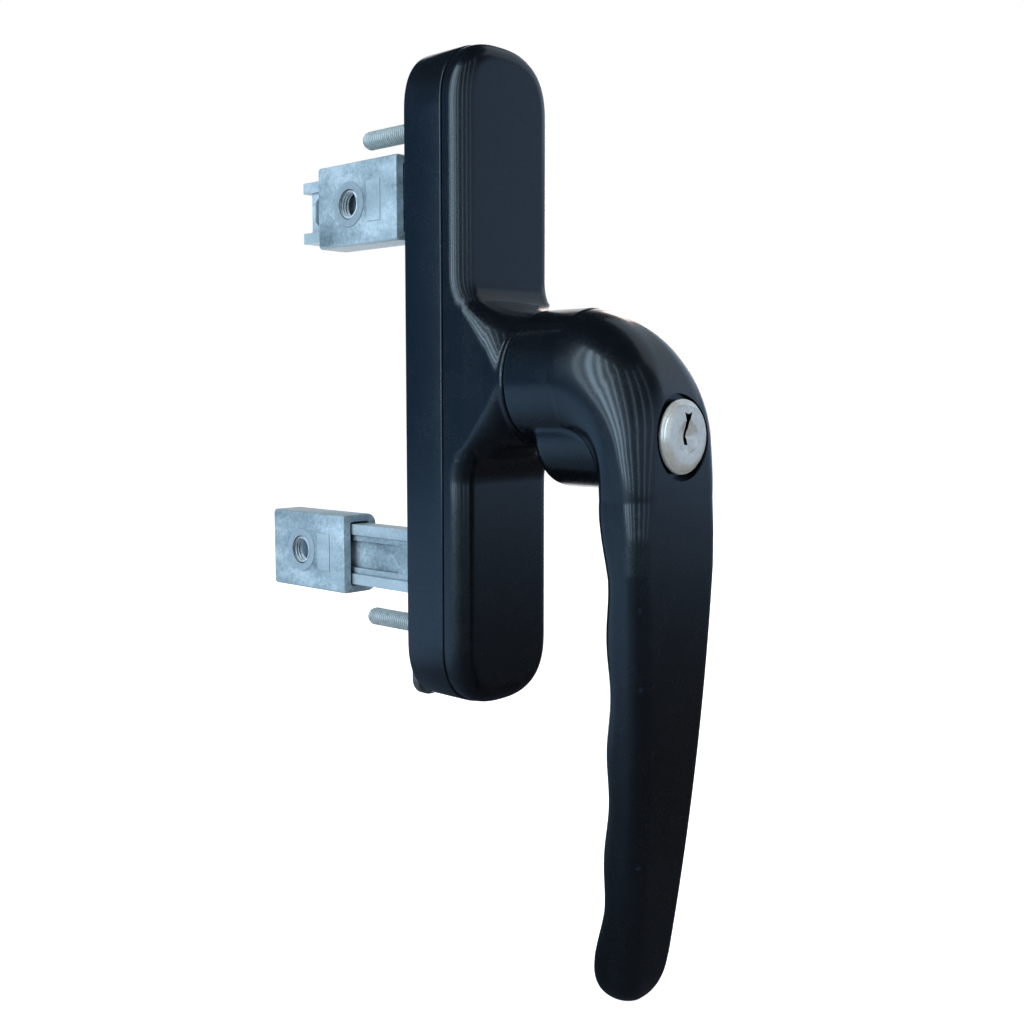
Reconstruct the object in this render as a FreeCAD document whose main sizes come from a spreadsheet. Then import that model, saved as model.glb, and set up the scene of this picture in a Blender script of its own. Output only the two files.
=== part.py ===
import FreeCAD, Part
import math
import os
import re
import Sketcher
from FreeCAD import Placement, Rotation, Vector

# Locking shutter handle: a lever turns a pinion, the pinion drives two racks in opposite
# directions, and each rack carries an arm with a clamp block behind the housing.
# Frame: X to the right seen from the front, Y to the rear, Z up. The origin is on the
# spindle axis in the plane of the rear mounting face. Depths are measured forward, along -Y.

SIZES = [
    # housing
    ("HousingLength", 165.0),
    ("HousingWidth", 34.0),
    ("BaseDepth", 12.5),
    ("BaseWall", 2.4),
    ("LedgeWidth", 1.1),
    ("LedgeThick", 1.4),
    ("EdgeRound", 0.6),
    ("ShadowGap", 1.2),
    ("GasketSetback", 1.3),
    ("CoverDepth", 6.0),
    ("CoverInset", 0.3),
    ("CoverWall", 2.6),
    ("ShoulderRadius", 4.8),
    ("RimDepth", 2.7),
    ("RimThick", 1.5),
    ("NeckRadius", 16.4),
    ("NeckLength", 12.95),
    ("FlareRadius", 8.0),
    ("JointGap", 0.5),
    # chassis and screws
    ("PlateThick", 3.0),
    ("PlatformThick", 1.6),
    ("PlatformRim", 1.0),
    ("CoreRib", 1.6),
    ("CoreDepth", 1.35),
    ("ScrewInset", 16.5),
    ("ScrewRadius", 2.5),
    ("ScrewShankRadius", 2.2),
    ("ScrewReach", 33.0),
    ("ScrewTip", 1.0),
    ("ScrewHeadRadius", 4.6),
    ("ScrewHeadThick", 3.4),
    ("ScrewHeadEdge", 0.7),
    ("ScrewWasherRadius", 5.1),
    ("ScrewWasherThick", 1.0),
    ("BossRadius", 8.8),
    ("BossHeight", 9.5),
    ("BossChamfer", 1.6),
    ("LugWidth", 21.0),
    ("LugStandoff", 3.2),
    ("LugThick", 2.2),
    ("LugDrop", 0.2),
    ("LugCorner", 4.5),
    ("LugWebInset", 3.0),
    ("SmallScrewRadius", 1.45),
    ("SmallHeadRadius", 2.8),
    ("SmallHeadThick", 1.8),
    ("SmallBossRadius", 3.0),
    ("SmallScrewTip", 0.6),
    ("OuterScrewInset", 6.8),
    # rack drive
    ("ToothModule", 1.25),
    ("ToothCount", 16.0),
    ("PressureAngle", 20.0),
    ("Backlash", 0.12),
    ("ToothOverrun", 0.4),
    ("GearThick", 5.2),
    ("GearGap", 0.2),
    ("HubRadius", 6.0),
    ("GearCoverThick", 1.4),
    ("GearCoverMargin", 1.5),
    ("RackBody", 2.6),
    ("LeverTurn", 90.0),
    # arms and blocks
    ("ArmDrop", 17.4),
    ("CarriageMargin", 0.4),
    ("ArmWidth", 6.0),
    ("ArmTall", 17.2),
    ("ArmFlange", 3.0),
    ("ArmRecess", 0.8),
    ("ArmPocket", 1.0),
    ("ArmPocketTall", 7.8),
    ("ArmPocketStart", 19.0),
    ("ArmPocketLand", 4.5),
    ("ArmReach", 58.5),
    ("ArmNotch", 3.0),
    ("BlockWidth", 12.0),
    ("BlockTall", 22.4),
    ("BlockDeep", 32.8),
    ("UpperBlockStart", 15.1),
    ("LowerBlockStart", 38.6),
    ("BlockHoleRadius", 3.4),
    ("BlockHoleSetback", 19.5),
    ("BlockRingRadius", 6.2),
    ("BlockRingRise", 0.25),
    ("BlockFarRound", 2.8),
    ("BlockNearRound", 0.7),
    ("StopRadius", 1.5),
    ("StopSetback", 7.6),
    # spindle, bearing and retaining parts
    ("SpindleSquare", 7.0),
    ("SpindleRear", 1.0),
    ("SpindleFront", 50.0),
    ("SpigotRadius", 7.9),
    ("BushWall", 2.0),
    ("BushFlange", 1.0),
    ("BushFlangeRadius", 12.5),
    ("WaveThick", 0.5),
    ("WaveWidth", 3.0),
    ("WasherThick", 0.5),
    ("WasherWidth", 3.4),
    ("CirclipThick", 1.0),
    ("CirclipRadial", 2.4),
    ("CirclipGroove", 0.8),
    ("CirclipMouth", 4.4),
    ("CirclipEarSpacing", 8.2),
    ("CirclipEarRise", 0.9),
    ("CirclipEarRadius", 1.9),
    ("CirclipEarHole", 0.85),
    ("RingThick", 3.0),
    ("RingRadius", 15.3),
    # lever
    ("LeverNeckRadius", 16.9),
    ("LeverFront", 73.0),
    ("ElbowOuter", 24.2),
    ("ElbowInner", 10.0),
    ("HeadWidth", 31.2),
    ("GripDepth", 11.6),
    ("GripWave", 0.45),
    ("WavePitch", 26.0),
    ("WaveStart", 32.5),
    ("TipLength", 11.0),
    ("WidthTaper", 0.145),
    ("TaperStart", 43.0),
    ("BowStart", 40.0),
    ("BowRadius", 728.0),
    ("LeverLength", 147.5),
    ("GripRound", 4.9),
    # lock
    ("LockDrop", 12.8),
    ("LockFace", 74.2),
    ("LockBossRadius", 12.6),
    ("LockBossRear", 37.5),
    ("LockBossRound", 4.0),
    ("RecessRadius", 9.7),
    ("FlangeRadius", 8.45),
    ("FlangeThick", 1.1),
    ("FaceThick", 0.9),
    ("FaceRadius", 7.9),
    ("FaceBevel", 0.4),
    ("BarrelRadius", 7.2),
    ("BarrelLength", 25.0),
    ("PlugRadius", 5.4),
    ("PlugNeckRadius", 4.6),
    ("ClipRadius", 6.5),
    ("ClipThick", 0.9),
    ("PlugEnd", 0.8),
    ("TailRadius", 1.1),
    ("TailLength", 5.0),
    ("PinRadius", 2.0),
    ("PinNose", 0.5),
    ("PinSetback", 0.2),
    ("KeyWidth", 1.6),
    ("KeyTall", 9.6),
    ("KeyDepth", 20.0),
    ("DimpleRadius", 3.7),
    ("DimpleDepth", 1.5),
    ("RetainerRadius", 1.25),
    ("RetainerDepth", 52.0),
    ("RetainerEnd", 0.3),
    # named clearances
    ("RunningFit", 0.05),
    ("SlideFit", 0.3),
    ("SeatFit", 0.1),
    ("HoleFit", 0.3),
    # how far a padded form reaches into the one that carries it
    ("FuseDepth", 0.5),
]

doc = FreeCAD.newDocument("ShutterHandle")
sheet = doc.addObject("Spreadsheet::Sheet", "Sizes")
for row, (alias, number) in enumerate(SIZES, start=1):
    sheet.set("A%d" % row, alias)
    sheet.set("B%d" % row, str(number))
    sheet.setAlias("B%d" % row, alias)
doc.recompute()


# Formulas. A formula is text in which each capitalised name is a cell of the sheet.
def bind(formula):
    return re.sub(r"\b([A-Z][A-Za-z]*)\b", r"Sizes.\1", formula)


def value(formula):
    result = sheet.evalExpression(bind(formula))
    return float(getattr(result, "Value", result))


# Derived depths, forward of the mounting face
COVER_BACK = "(BaseDepth + ShadowGap)"
COVER_FRONT = "(BaseDepth + ShadowGap + CoverDepth)"
COVER_INSIDE = "(BaseDepth + ShadowGap + CoverDepth - CoverWall)"
NECK_END = "(BaseDepth + ShadowGap + CoverDepth + NeckLength)"
LEVER_START = "(BaseDepth + ShadowGap + CoverDepth + NeckLength + JointGap)"
GEAR_BACK = "(PlateThick + PlatformThick + GearGap)"
GEAR_FRONT = "(PlateThick + PlatformThick + GearGap + GearThick)"
GEAR_COVER_BACK = "(PlateThick + PlatformThick + 2*GearGap + GearThick)"
GEAR_COVER_FRONT = "(PlateThick + PlatformThick + 2*GearGap + GearThick + GearCoverThick)"
BUSH_BACK = "(BaseDepth + ShadowGap + CoverDepth - CoverWall - BushFlange)"
WAVE_BACK = "(BaseDepth + ShadowGap + CoverDepth - CoverWall - BushFlange - WaveThick - RunningFit)"
WASHER_BACK = WAVE_BACK[:-1] + " - WasherThick - RunningFit)"
CLIP_BACK = WASHER_BACK[:-1] + " - CirclipThick - RunningFit)"
SPIGOT_BACK = CLIP_BACK[:-1] + " - CirclipThick)"

# Derived radii and heights
INNER_HALF = "(HousingWidth/2 - BaseWall)"
COVER_HALF = "(HousingWidth/2 - CoverInset)"
PITCH_RADIUS = "(ToothModule*ToothCount/2)"
TOOTH_PITCH = "(pi*ToothModule)"
TRAVEL = "(ToothModule*ToothCount/2*LeverTurn*pi/180)"
RACK_BACK = "(ToothModule*ToothCount/2 + 1.25*ToothModule + RackBody)"
OUTER_SCREW = "(HousingLength/2 - OuterScrewInset)"
SCREW_HEIGHT = "(HousingLength/2 - ScrewInset)"
ARM_HEIGHT = "(HousingLength/2 - ScrewInset - ArmDrop)"
CARRIAGE_LOW = "(%s - ArmTall/2 - CarriageMargin)" % ARM_HEIGHT
CARRIAGE_HIGH = "(%s + ArmTall/2 + CarriageMargin)" % ARM_HEIGHT
# The inner cover screws sit midway between the pinion's tips and the carriage at full travel
INNER_SCREW = "((%s + ToothModule + %s - %s)/2)" % (PITCH_RADIUS, CARRIAGE_LOW, TRAVEL)
SLOT_TOP = "(%s + ArmTall/2 + SlideFit)" % ARM_HEIGHT
SLOT_LOW = "(%s - ArmTall/2 - %s - SlideFit)" % (ARM_HEIGHT, TRAVEL)

FACE = {"front": "XZ_Plane", "side": "YZ_Plane", "top": "XY_Plane"}


def new_body(label):
    body = doc.addObject("PartDesign::Body", label)
    body.Label = label
    return body


def sketch(body, name, view, offset="0"):
    """A sketch on one of the body's own planes. A front sketch is offset forward, to -Y."""
    made = body.newObject("Sketcher::SketchObject", name)
    plane = [item for item in body.Origin.OriginFeatures if item.Role == FACE[view]][0]
    made.AttachmentSupport = [(plane, "")]
    made.MapMode = "FlatFace"
    made.setExpression("AttachmentOffset.Base.z", bind(offset))
    return made


def pin(made, geometry, vertex, across, up):
    """Tie one vertex to the sketch's origin by its two distances."""
    for kind, formula in (("DistanceX", across), ("DistanceY", up)):
        rule = Sketcher.Constraint(kind, -1, 1, geometry, vertex, value(formula))
        index = made.addConstraint(rule)
        made.setExpression("Constraints[%d]" % index, bind(formula))


def radius(made, geometry, formula):
    index = made.addConstraint(Sketcher.Constraint("Radius", geometry, value(formula)))
    made.setExpression("Constraints[%d]" % index, bind(formula))


def polygon(made, corners):
    spots = [Vector(value(across), value(up), 0) for across, up in corners]
    first = made.GeometryCount
    count = len(spots)
    for i in range(count):
        made.addGeometry(Part.LineSegment(spots[i], spots[(i + 1) % count]), False)
    for i in range(count):
        after = first + (i + 1) % count
        made.addConstraint(Sketcher.Constraint("Coincident", first + i, 2, after, 1))
    for i, (across, up) in enumerate(corners):
        pin(made, first + i, 1, across, up)


def rectangle(made, left, right, low, high):
    polygon(made, [(left, low), (right, low), (right, high), (left, high)])


def circle(made, across, up, size):
    centre = Vector(value(across), value(up), 0)
    index = made.addGeometry(Part.Circle(centre, Vector(0, 0, 1), value(size)), False)
    pin(made, index, 3, across, up)
    radius(made, index, size)


def stadium(made, half_width, half_length):
    """An upright outline with full round ends, centred on the origin."""
    wide = value(half_width)
    straight = value(half_length) - wide
    up = "(%s) - (%s)" % (half_length, half_width)
    first = made.GeometryCount
    axis = Vector(0, 0, 1)
    top = Part.Circle(Vector(0, straight, 0), axis, wide)
    bottom = Part.Circle(Vector(0, -straight, 0), axis, wide)
    made.addGeometry(Part.LineSegment(Vector(wide, -straight, 0), Vector(wide, straight, 0)), False)
    made.addGeometry(Part.ArcOfCircle(top, 0, math.pi), False)
    made.addGeometry(Part.LineSegment(Vector(-wide, straight, 0), Vector(-wide, -straight, 0)), False)
    made.addGeometry(Part.ArcOfCircle(bottom, math.pi, 2 * math.pi), False)
    for i in range(4):
        made.addConstraint(Sketcher.Constraint("Tangent", first + i, 2, first + (i + 1) % 4, 1))
    pin(made, first + 1, 3, "0", up)
    pin(made, first + 3, 3, "0", "-(%s)" % up)
    radius(made, first + 1, half_width)
    radius(made, first + 3, half_width)


def rounded_rectangle(made, half_width, half_height, corner):
    """Four sides and four corner arcs, all tangent, centred on the origin."""
    wide, tall, bend = value(half_width), value(half_height), value(corner)
    first = made.GeometryCount
    axis = Vector(0, 0, 1)
    turns = [(1, -1, -90), (1, 1, 0), (-1, 1, 90), (-1, -1, 180)]
    for sx, sy, start in turns:
        centre = Vector(sx * (wide - bend), sy * (tall - bend), 0)
        arc = Part.Circle(centre, axis, bend)
        made.addGeometry(Part.ArcOfCircle(arc, math.radians(start), math.radians(start + 90)), False)
    ends = [
        (Vector(wide, -tall + bend, 0), Vector(wide, tall - bend, 0)),
        (Vector(wide - bend, tall, 0), Vector(-wide + bend, tall, 0)),
        (Vector(-wide, tall - bend, 0), Vector(-wide, -tall + bend, 0)),
        (Vector(-wide + bend, -tall, 0), Vector(wide - bend, -tall, 0)),
    ]
    for begin, end in ends:
        made.addGeometry(Part.LineSegment(begin, end), False)
    for i in range(4):
        line = first + 4 + i
        made.addConstraint(Sketcher.Constraint("Tangent", first + i, 2, line, 1))
        made.addConstraint(Sketcher.Constraint("Tangent", line, 2, first + (i + 1) % 4, 1))
    for i, (sx, sy, start) in enumerate(turns):
        across = "%d*((%s) - (%s))" % (sx, half_width, corner)
        up = "%d*((%s) - (%s))" % (sy, half_height, corner)
        pin(made, first + i, 3, across, up)
        radius(made, first + i, corner)


def pad(body, made, length, back=False):
    """Add material forward of the sketch, or behind it. Returns the feature."""
    feature = body.newObject("PartDesign::Pad", made.Name + "_pad")
    feature.Profile = made
    feature.setExpression("Length", bind(length))
    feature.Reversed = back
    doc.recompute()
    return feature


def pocket(body, made, length=None, forward=True):
    """Cut forward or rearward of the sketch, by a length or through everything both ways."""
    before = body.Shape.Volume
    feature = body.newObject("PartDesign::Pocket", made.Name + "_cut")
    feature.Profile = made
    if length is None:
        feature.Type = "ThroughAll"
        feature.Midplane = True
    else:
        feature.setExpression("Length", bind(length))
        feature.Reversed = forward
    doc.recompute()
    if body.Shape.Volume >= before:
        raise ValueError("%s cut nothing" % feature.Name)
    return feature


def revolve(body, made, cut=False):
    """Turn a side sketch about its own horizontal axis, which lies along Y."""
    before = body.Shape.Volume if cut else 0
    kind = "PartDesign::Groove" if cut else "PartDesign::Revolution"
    feature = body.newObject(kind, made.Name + "_turn")
    feature.Profile = made
    feature.ReferenceAxis = (made, ["H_Axis"])
    feature.Angle = 360
    doc.recompute()
    if cut and body.Shape.Volume >= before:
        raise ValueError("%s cut nothing" % feature.Name)
    return feature


def dress(body, kind, size, wanted):
    """Fillet or chamfer the edges of the body that the test picks."""
    base = body.Tip
    names = ["Edge%d" % (i + 1) for i, edge in enumerate(base.Shape.Edges) if wanted(edge)]
    if not names:
        raise ValueError("no edge found on %s" % body.Label)
    feature = body.newObject("PartDesign::" + kind, body.Label + "_" + kind.lower())
    feature.Base = (base, names)
    feature.setExpression("Radius" if kind == "Fillet" else "Size", bind(size))
    doc.recompute()
    return feature


def at_depth(edge, depth):
    """True for an edge that lies wholly at one depth forward of the mounting face."""
    box = edge.BoundBox
    return abs(box.YMin + depth) < 1e-3 and abs(box.YMax + depth) < 1e-3


def upright_profile(name, x, z):
    """A free sketch in the plane through (x, z) that holds Y and the height above the axis."""
    made = doc.addObject("Sketcher::SketchObject", name)
    made.Placement = Placement(Vector(value(x), 0, value(z)), Rotation(Vector(1, 1, 1), 120))
    made.setExpression("Placement.Base.x", bind(x))
    made.setExpression("Placement.Base.z", bind(z))
    return made


def turned(label, corners, x="0", z="0"):
    """A turned piece on an axis along Y: corners are (Y, radius) formulas."""
    made = upright_profile(label + "_profile", x, z)
    polygon(made, corners)
    piece = doc.addObject("Part::Revolution", label)
    piece.Label = label
    piece.Source = made
    piece.Axis = Vector(0, 1, 0)
    piece.setExpression("Base.x", bind(x))
    piece.setExpression("Base.z", bind(z))
    piece.Angle = 360
    piece.Solid = True
    return piece


def group(label, pieces):
    """Identical pieces kept as separate solids of one part."""
    made = doc.addObject("Part::Compound", label)
    made.Label = label
    made.Links = pieces
    return made


# Base shell: a full-round tube with a ledge inside that the chassis seats on
def make_base_shell():
    body = new_body("base_shell")
    outline = sketch(body, "shell_outline", "front")
    stadium(outline, "HousingWidth/2", "HousingLength/2")
    pad(body, outline, "BaseDepth")
    opening = sketch(body, "shell_opening", "front")
    stadium(opening, INNER_HALF, "HousingLength/2 - BaseWall")
    pocket(body, opening, "BaseDepth")
    ledge = sketch(body, "shell_ledge", "front", "PlateThick")
    stadium(ledge, "HousingWidth/2 - BaseWall/2", "HousingLength/2 - BaseWall/2")
    stadium(ledge, INNER_HALF + " - LedgeWidth", "HousingLength/2 - BaseWall - LedgeWidth")
    pad(body, ledge, "LedgeThick")
    half = value("HousingWidth/2")

    def outer_rim(edge):
        box = edge.BoundBox
        side = max(abs(box.XMin), abs(box.XMax)) > half - 0.01
        return side and (at_depth(edge, 0) or at_depth(edge, value("BaseDepth")))

    dress(body, "Chamfer", "EdgeRound", outer_rim)
    return body


# Dark frame that fills the shadow gap between the shell and the cover
def make_joint_gasket():
    body = new_body("joint_gasket")
    frame = sketch(body, "gasket_frame", "front", "BaseDepth")
    stadium(frame, "HousingWidth/2 - GasketSetback", "HousingLength/2 - GasketSetback")
    stadium(frame, INNER_HALF, "HousingLength/2 - BaseWall")
    pad(body, frame, "ShadowGap")
    return body


# Front cover: a shallow full-round shell with a flared neck, its flanks cut flush
def make_front_cover():
    body = new_body("front_cover")
    outline = sketch(body, "cover_outline", "front", COVER_BACK)
    stadium(outline, COVER_HALF, "HousingLength/2 - CoverInset")
    pad(body, outline, "CoverDepth")

    flare = sketch(body, "cover_flare", "side")
    inside = value("-" + COVER_INSIDE)
    front = value("-" + COVER_FRONT)
    end = value("-" + NECK_END)
    neck = value("NeckRadius")
    bend = value("FlareRadius")
    wide = neck + bend
    corners = [(inside, 0), (inside, wide), (front, wide), (front - bend, neck), (end, neck), (end, 0)]
    spots = [Vector(x, y, 0) for x, y in corners]
    flare.addGeometry(Part.LineSegment(spots[0], spots[1]), False)
    flare.addGeometry(Part.LineSegment(spots[1], spots[2]), False)
    ball = Part.Circle(Vector(front - bend, wide, 0), Vector(0, 0, 1), bend)
    flare.addGeometry(Part.ArcOfCircle(ball, -math.pi / 2, 0), False)
    flare.addGeometry(Part.LineSegment(spots[3], spots[4]), False)
    flare.addGeometry(Part.LineSegment(spots[4], spots[5]), False)
    flare.addGeometry(Part.LineSegment(spots[5], spots[0]), False)
    joins = [(0, 2, 1, 1), (1, 2, 2, 2), (2, 1, 3, 1), (3, 2, 4, 1), (4, 2, 5, 1), (5, 2, 0, 1)]
    for join in joins:
        flare.addConstraint(Sketcher.Constraint("Coincident", *join))
    pin(flare, 0, 1, "-" + COVER_INSIDE, "0")
    pin(flare, 0, 2, "-" + COVER_INSIDE, "NeckRadius + FlareRadius")
    pin(flare, 1, 2, "-" + COVER_FRONT, "NeckRadius + FlareRadius")
    radius(flare, 2, "FlareRadius")
    pin(flare, 3, 1, "-%s - FlareRadius" % COVER_FRONT, "NeckRadius")
    pin(flare, 3, 2, "-" + NECK_END, "NeckRadius")
    pin(flare, 4, 2, "-" + NECK_END, "0")
    revolve(body, flare)

    flanks = sketch(body, "cover_flanks", "front", COVER_BACK)
    for side in (1, -1):
        near = "%d*%s" % (side, COVER_HALF)
        far = "%d*(NeckRadius + FlareRadius + 1)" % side
        reach = "(NeckRadius + FlareRadius + 1)"
        rectangle(flanks, near, far, "-" + reach, reach)
    pocket(body, flanks, NECK_END)

    half = value(COVER_HALF)
    depth_front = value(COVER_FRONT)

    def shoulder(edge):
        box = edge.BoundBox
        flank = min(abs(box.XMin), abs(box.XMax)) > half - 0.01 and box.XMax - box.XMin < 0.01
        round_end = at_depth(edge, depth_front) and box.XMax - box.XMin > half
        straight = flank and at_depth(edge, depth_front)
        rising = flank and box.YMin < -depth_front - 0.01
        return round_end or straight or rising

    dress(body, "Fillet", "ShoulderRadius", shoulder)

    hollow = sketch(body, "cover_hollow", "front", COVER_BACK)
    stadium(hollow, COVER_HALF + " - CoverWall", "HousingLength/2 - CoverInset - CoverWall")
    pocket(body, hollow, "CoverDepth - CoverWall")

    rim = sketch(body, "cover_rim", "front", COVER_BACK + " - RimDepth")
    edge_out = INNER_HALF + " - SeatFit"
    long_out = "HousingLength/2 - BaseWall - SeatFit"
    stadium(rim, edge_out, long_out)
    stadium(rim, edge_out + " - RimThick", long_out + " - RimThick")
    pad(body, rim, "RimDepth + FuseDepth")

    bosses = sketch(body, "cover_bosses", "front", GEAR_COVER_FRONT)
    for side in (1, -1):
        circle(bosses, "0", "%d*%s" % (side, INNER_SCREW), "SmallBossRadius")
        circle(bosses, "0", "%d*%s" % (side, OUTER_SCREW), "SmallBossRadius")
    pad(body, bosses, "%s - %s + FuseDepth" % (COVER_INSIDE, GEAR_COVER_FRONT))
    taps = sketch(body, "cover_taps", "front", GEAR_COVER_FRONT)
    for side in (1, -1):
        circle(taps, "0", "%d*%s" % (side, INNER_SCREW), "SmallScrewRadius + RunningFit")
        circle(taps, "0", "%d*%s" % (side, OUTER_SCREW), "SmallScrewRadius + RunningFit")
    pocket(body, taps, "%s - %s" % (COVER_INSIDE, GEAR_COVER_FRONT))

    bore = sketch(body, "cover_bore", "front", COVER_BACK)
    circle(bore, "0", "0", "SpigotRadius + RunningFit + BushWall")
    pocket(body, bore, "CoverDepth + NeckLength")
    seat = sketch(body, "cover_ring_seat", "front", NECK_END)
    circle(seat, "0", "0", "RingRadius + SeatFit")
    pocket(body, seat, "RingThick", forward=False)
    return body


# Chassis: zinc casting with the guides, the bearing for the pinion and the screw bosses
def make_chassis():
    body = new_body("chassis")
    plate = sketch(body, "chassis_plate", "front")
    stadium(plate, INNER_HALF + " - SeatFit", "HousingLength/2 - BaseWall - SeatFit")
    pad(body, plate, "PlateThick")
    platform = sketch(body, "chassis_platform", "front", "PlateThick")
    half = INNER_HALF + " - LedgeWidth - SeatFit"
    rectangle(platform, "-(%s)" % half, half, "-%s - PlatformRim" % SLOT_TOP, SLOT_TOP + " + PlatformRim")
    pad(body, platform, "PlatformThick")

    bosses = sketch(body, "chassis_bosses", "front")
    for side in (1, -1):
        circle(bosses, "0", "%d*%s" % (side, SCREW_HEIGHT), "BossRadius")
    pad(body, bosses, "BossHeight", back=True)
    height = value("BossHeight")
    dress(body, "Chamfer", "BossChamfer", lambda edge: at_depth(edge, -height))

    web = sketch(body, "chassis_web", "front")
    bottom = "-(HousingLength/2 + LugDrop)"
    rectangle(web, "-LugWidth/2 + LugWebInset", "LugWidth/2 - LugWebInset", bottom + " + LugWebInset", "-" + SCREW_HEIGHT)
    pad(body, web, "LugStandoff + LugThick", back=True)
    lug = sketch(body, "chassis_lug", "front", "-LugStandoff")
    rectangle(lug, "-LugWidth/2", "LugWidth/2", bottom, "-%s - LugWebInset - 1" % SCREW_HEIGHT)
    pad(body, lug, "LugThick", back=True)
    low = value(bottom)

    def lug_corner(edge):
        box = edge.BoundBox
        return box.YMax - box.YMin > 1 and box.ZMax < low + 0.01

    dress(body, "Fillet", "LugCorner", lug_corner)

    posts = sketch(body, "chassis_posts", "front", "PlateThick")
    for side in (1, -1):
        circle(posts, "0", "%d*%s" % (side, INNER_SCREW), "SmallBossRadius")
        circle(posts, "0", "%d*%s" % (side, OUTER_SCREW), "SmallBossRadius")
    pad(body, posts, "%s - PlateThick" % GEAR_COVER_BACK)

    slots = sketch(body, "chassis_slots", "front")
    wide = "(ArmWidth/2 + SlideFit)"
    for side in (1, -1):
        rectangle(slots, "-" + wide, wide, "%d*%s" % (side, SLOT_LOW), "%d*%s" % (side, SLOT_TOP))
    pocket(body, slots)
    holes = sketch(body, "chassis_holes", "front")
    for side in (1, -1):
        circle(holes, "0", "%d*%s" % (side, SCREW_HEIGHT), "ScrewRadius + HoleFit")
    pocket(body, holes)
    small = sketch(body, "chassis_small_holes", "front")
    for side in (1, -1):
        circle(small, "0", "%d*%s" % (side, INNER_SCREW), "SmallScrewRadius + SeatFit")
        circle(small, "0", "%d*%s" % (side, OUTER_SCREW), "SmallScrewRadius + SeatFit")
    pocket(body, small)

    bearing = sketch(body, "chassis_bearing", "front", "SpindleRear - SeatFit")
    circle(bearing, "0", "0", "HubRadius + RunningFit")
    pocket(body, bearing, "PlateThick + PlatformThick")

    sinks = sketch(body, "chassis_sinks", "front", "-LugStandoff - LugThick")
    for side in (1, -1):
        circle(sinks, "0", "%d*%s" % (side, INNER_SCREW), "SmallHeadRadius + SeatFit")
        circle(sinks, "0", "%d*%s" % (side, OUTER_SCREW), "SmallHeadRadius + SeatFit")
    pocket(body, sinks, "LugStandoff + LugThick + SmallHeadThick + SeatFit")

    cores = sketch(body, "chassis_cores", "front")
    edge = "(%s - SeatFit - CoreRib)" % INNER_HALF
    inner = "(ArmWidth/2 + SlideFit + CoreRib)"
    for sx in (1, -1):
        for sz in (1, -1):
            left, right = "%d*%s" % (sx, inner), "%d*%s" % (sx, edge)
            high = "%d*(%s - BossRadius/3)" % (sz, SLOT_TOP)
            rectangle(cores, left, right, "%d*%s" % (sz, SLOT_LOW), high)
    pocket(body, cores, "CoreDepth")
    return body


def make_gear_cover():
    body = new_body("gear_cover")
    plate = sketch(body, "gear_cover_plate", "front", GEAR_COVER_BACK)
    half = "(%s - RimThick - 2*SeatFit)" % INNER_HALF
    tall = "(%s + SmallBossRadius + GearCoverMargin)" % INNER_SCREW
    rounded_rectangle(plate, half, tall, "SmallBossRadius")
    circle(plate, "0", "0", "HubRadius + RunningFit")
    for side in (1, -1):
        circle(plate, "0", "%d*%s" % (side, INNER_SCREW), "SmallScrewRadius + SeatFit")
    pad(body, plate, "GearCoverThick")
    return body


# Pinion: true involute flanks, each drawn as an arc through three points of the involute
def involute_half_angle(at_radius):
    pitch = value(PITCH_RADIUS)
    pressure = math.radians(value("PressureAngle"))
    base = pitch * math.cos(pressure)
    half_tooth = (math.pi * value("ToothModule") / 2 - value("Backlash")) / (2 * pitch)
    spread = math.tan(pressure) - pressure
    roll = math.acos(min(1.0, base / max(at_radius, base)))
    return half_tooth + spread - (math.tan(roll) - roll)


def make_pinion():
    body = new_body("pinion")
    blank = sketch(body, "pinion_blank", "front", GEAR_BACK)
    circle(blank, "0", "0", PITCH_RADIUS + " + ToothModule")
    pad(body, blank, "GearThick")
    gap = sketch(body, "pinion_gap", "front", GEAR_BACK)
    tip = value(PITCH_RADIUS + " + ToothModule + ToothOverrun")
    root = value(PITCH_RADIUS + " - 1.25*ToothModule")
    step = math.pi / value("ToothCount")

    def flank(at_radius, side):
        angle = math.pi / 2 + side * (step - involute_half_angle(at_radius))
        return Vector(at_radius * math.cos(angle), at_radius * math.sin(angle), 0)

    middle = (tip + root) / 2
    right = [flank(r, -1) for r in (tip, middle, root)]
    left = [flank(r, 1) for r in (root, middle, tip)]
    gap.addGeometry(Part.Arc(*right), False)
    gap.addGeometry(Part.Arc(right[2], Vector(0, root, 0), left[0]), False)
    gap.addGeometry(Part.Arc(*left), False)
    gap.addGeometry(Part.LineSegment(left[2], right[0]), False)
    cut = pocket(body, gap, "GearThick")
    teeth = body.newObject("PartDesign::PolarPattern", "pinion_teeth")
    teeth.Originals = [cut]
    teeth.Axis = (gap, ["N_Axis"])
    teeth.Angle = 360
    teeth.setExpression("Occurrences", bind("ToothCount"))
    body.Tip = teeth
    doc.recompute()
    back_hub = sketch(body, "pinion_back_hub", "front", "SpindleRear")
    circle(back_hub, "0", "0", "HubRadius")
    pad(body, back_hub, GEAR_BACK + " - SpindleRear")
    front_hub = sketch(body, "pinion_front_hub", "front", GEAR_FRONT)
    circle(front_hub, "0", "0", "HubRadius")
    pad(body, front_hub, "GearGap + GearCoverThick")
    square = sketch(body, "pinion_square", "front")
    half = "(SpindleSquare/2 + RunningFit)"
    rectangle(square, "-" + half, half, "-" + half, half)
    pocket(body, square)
    return body


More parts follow.
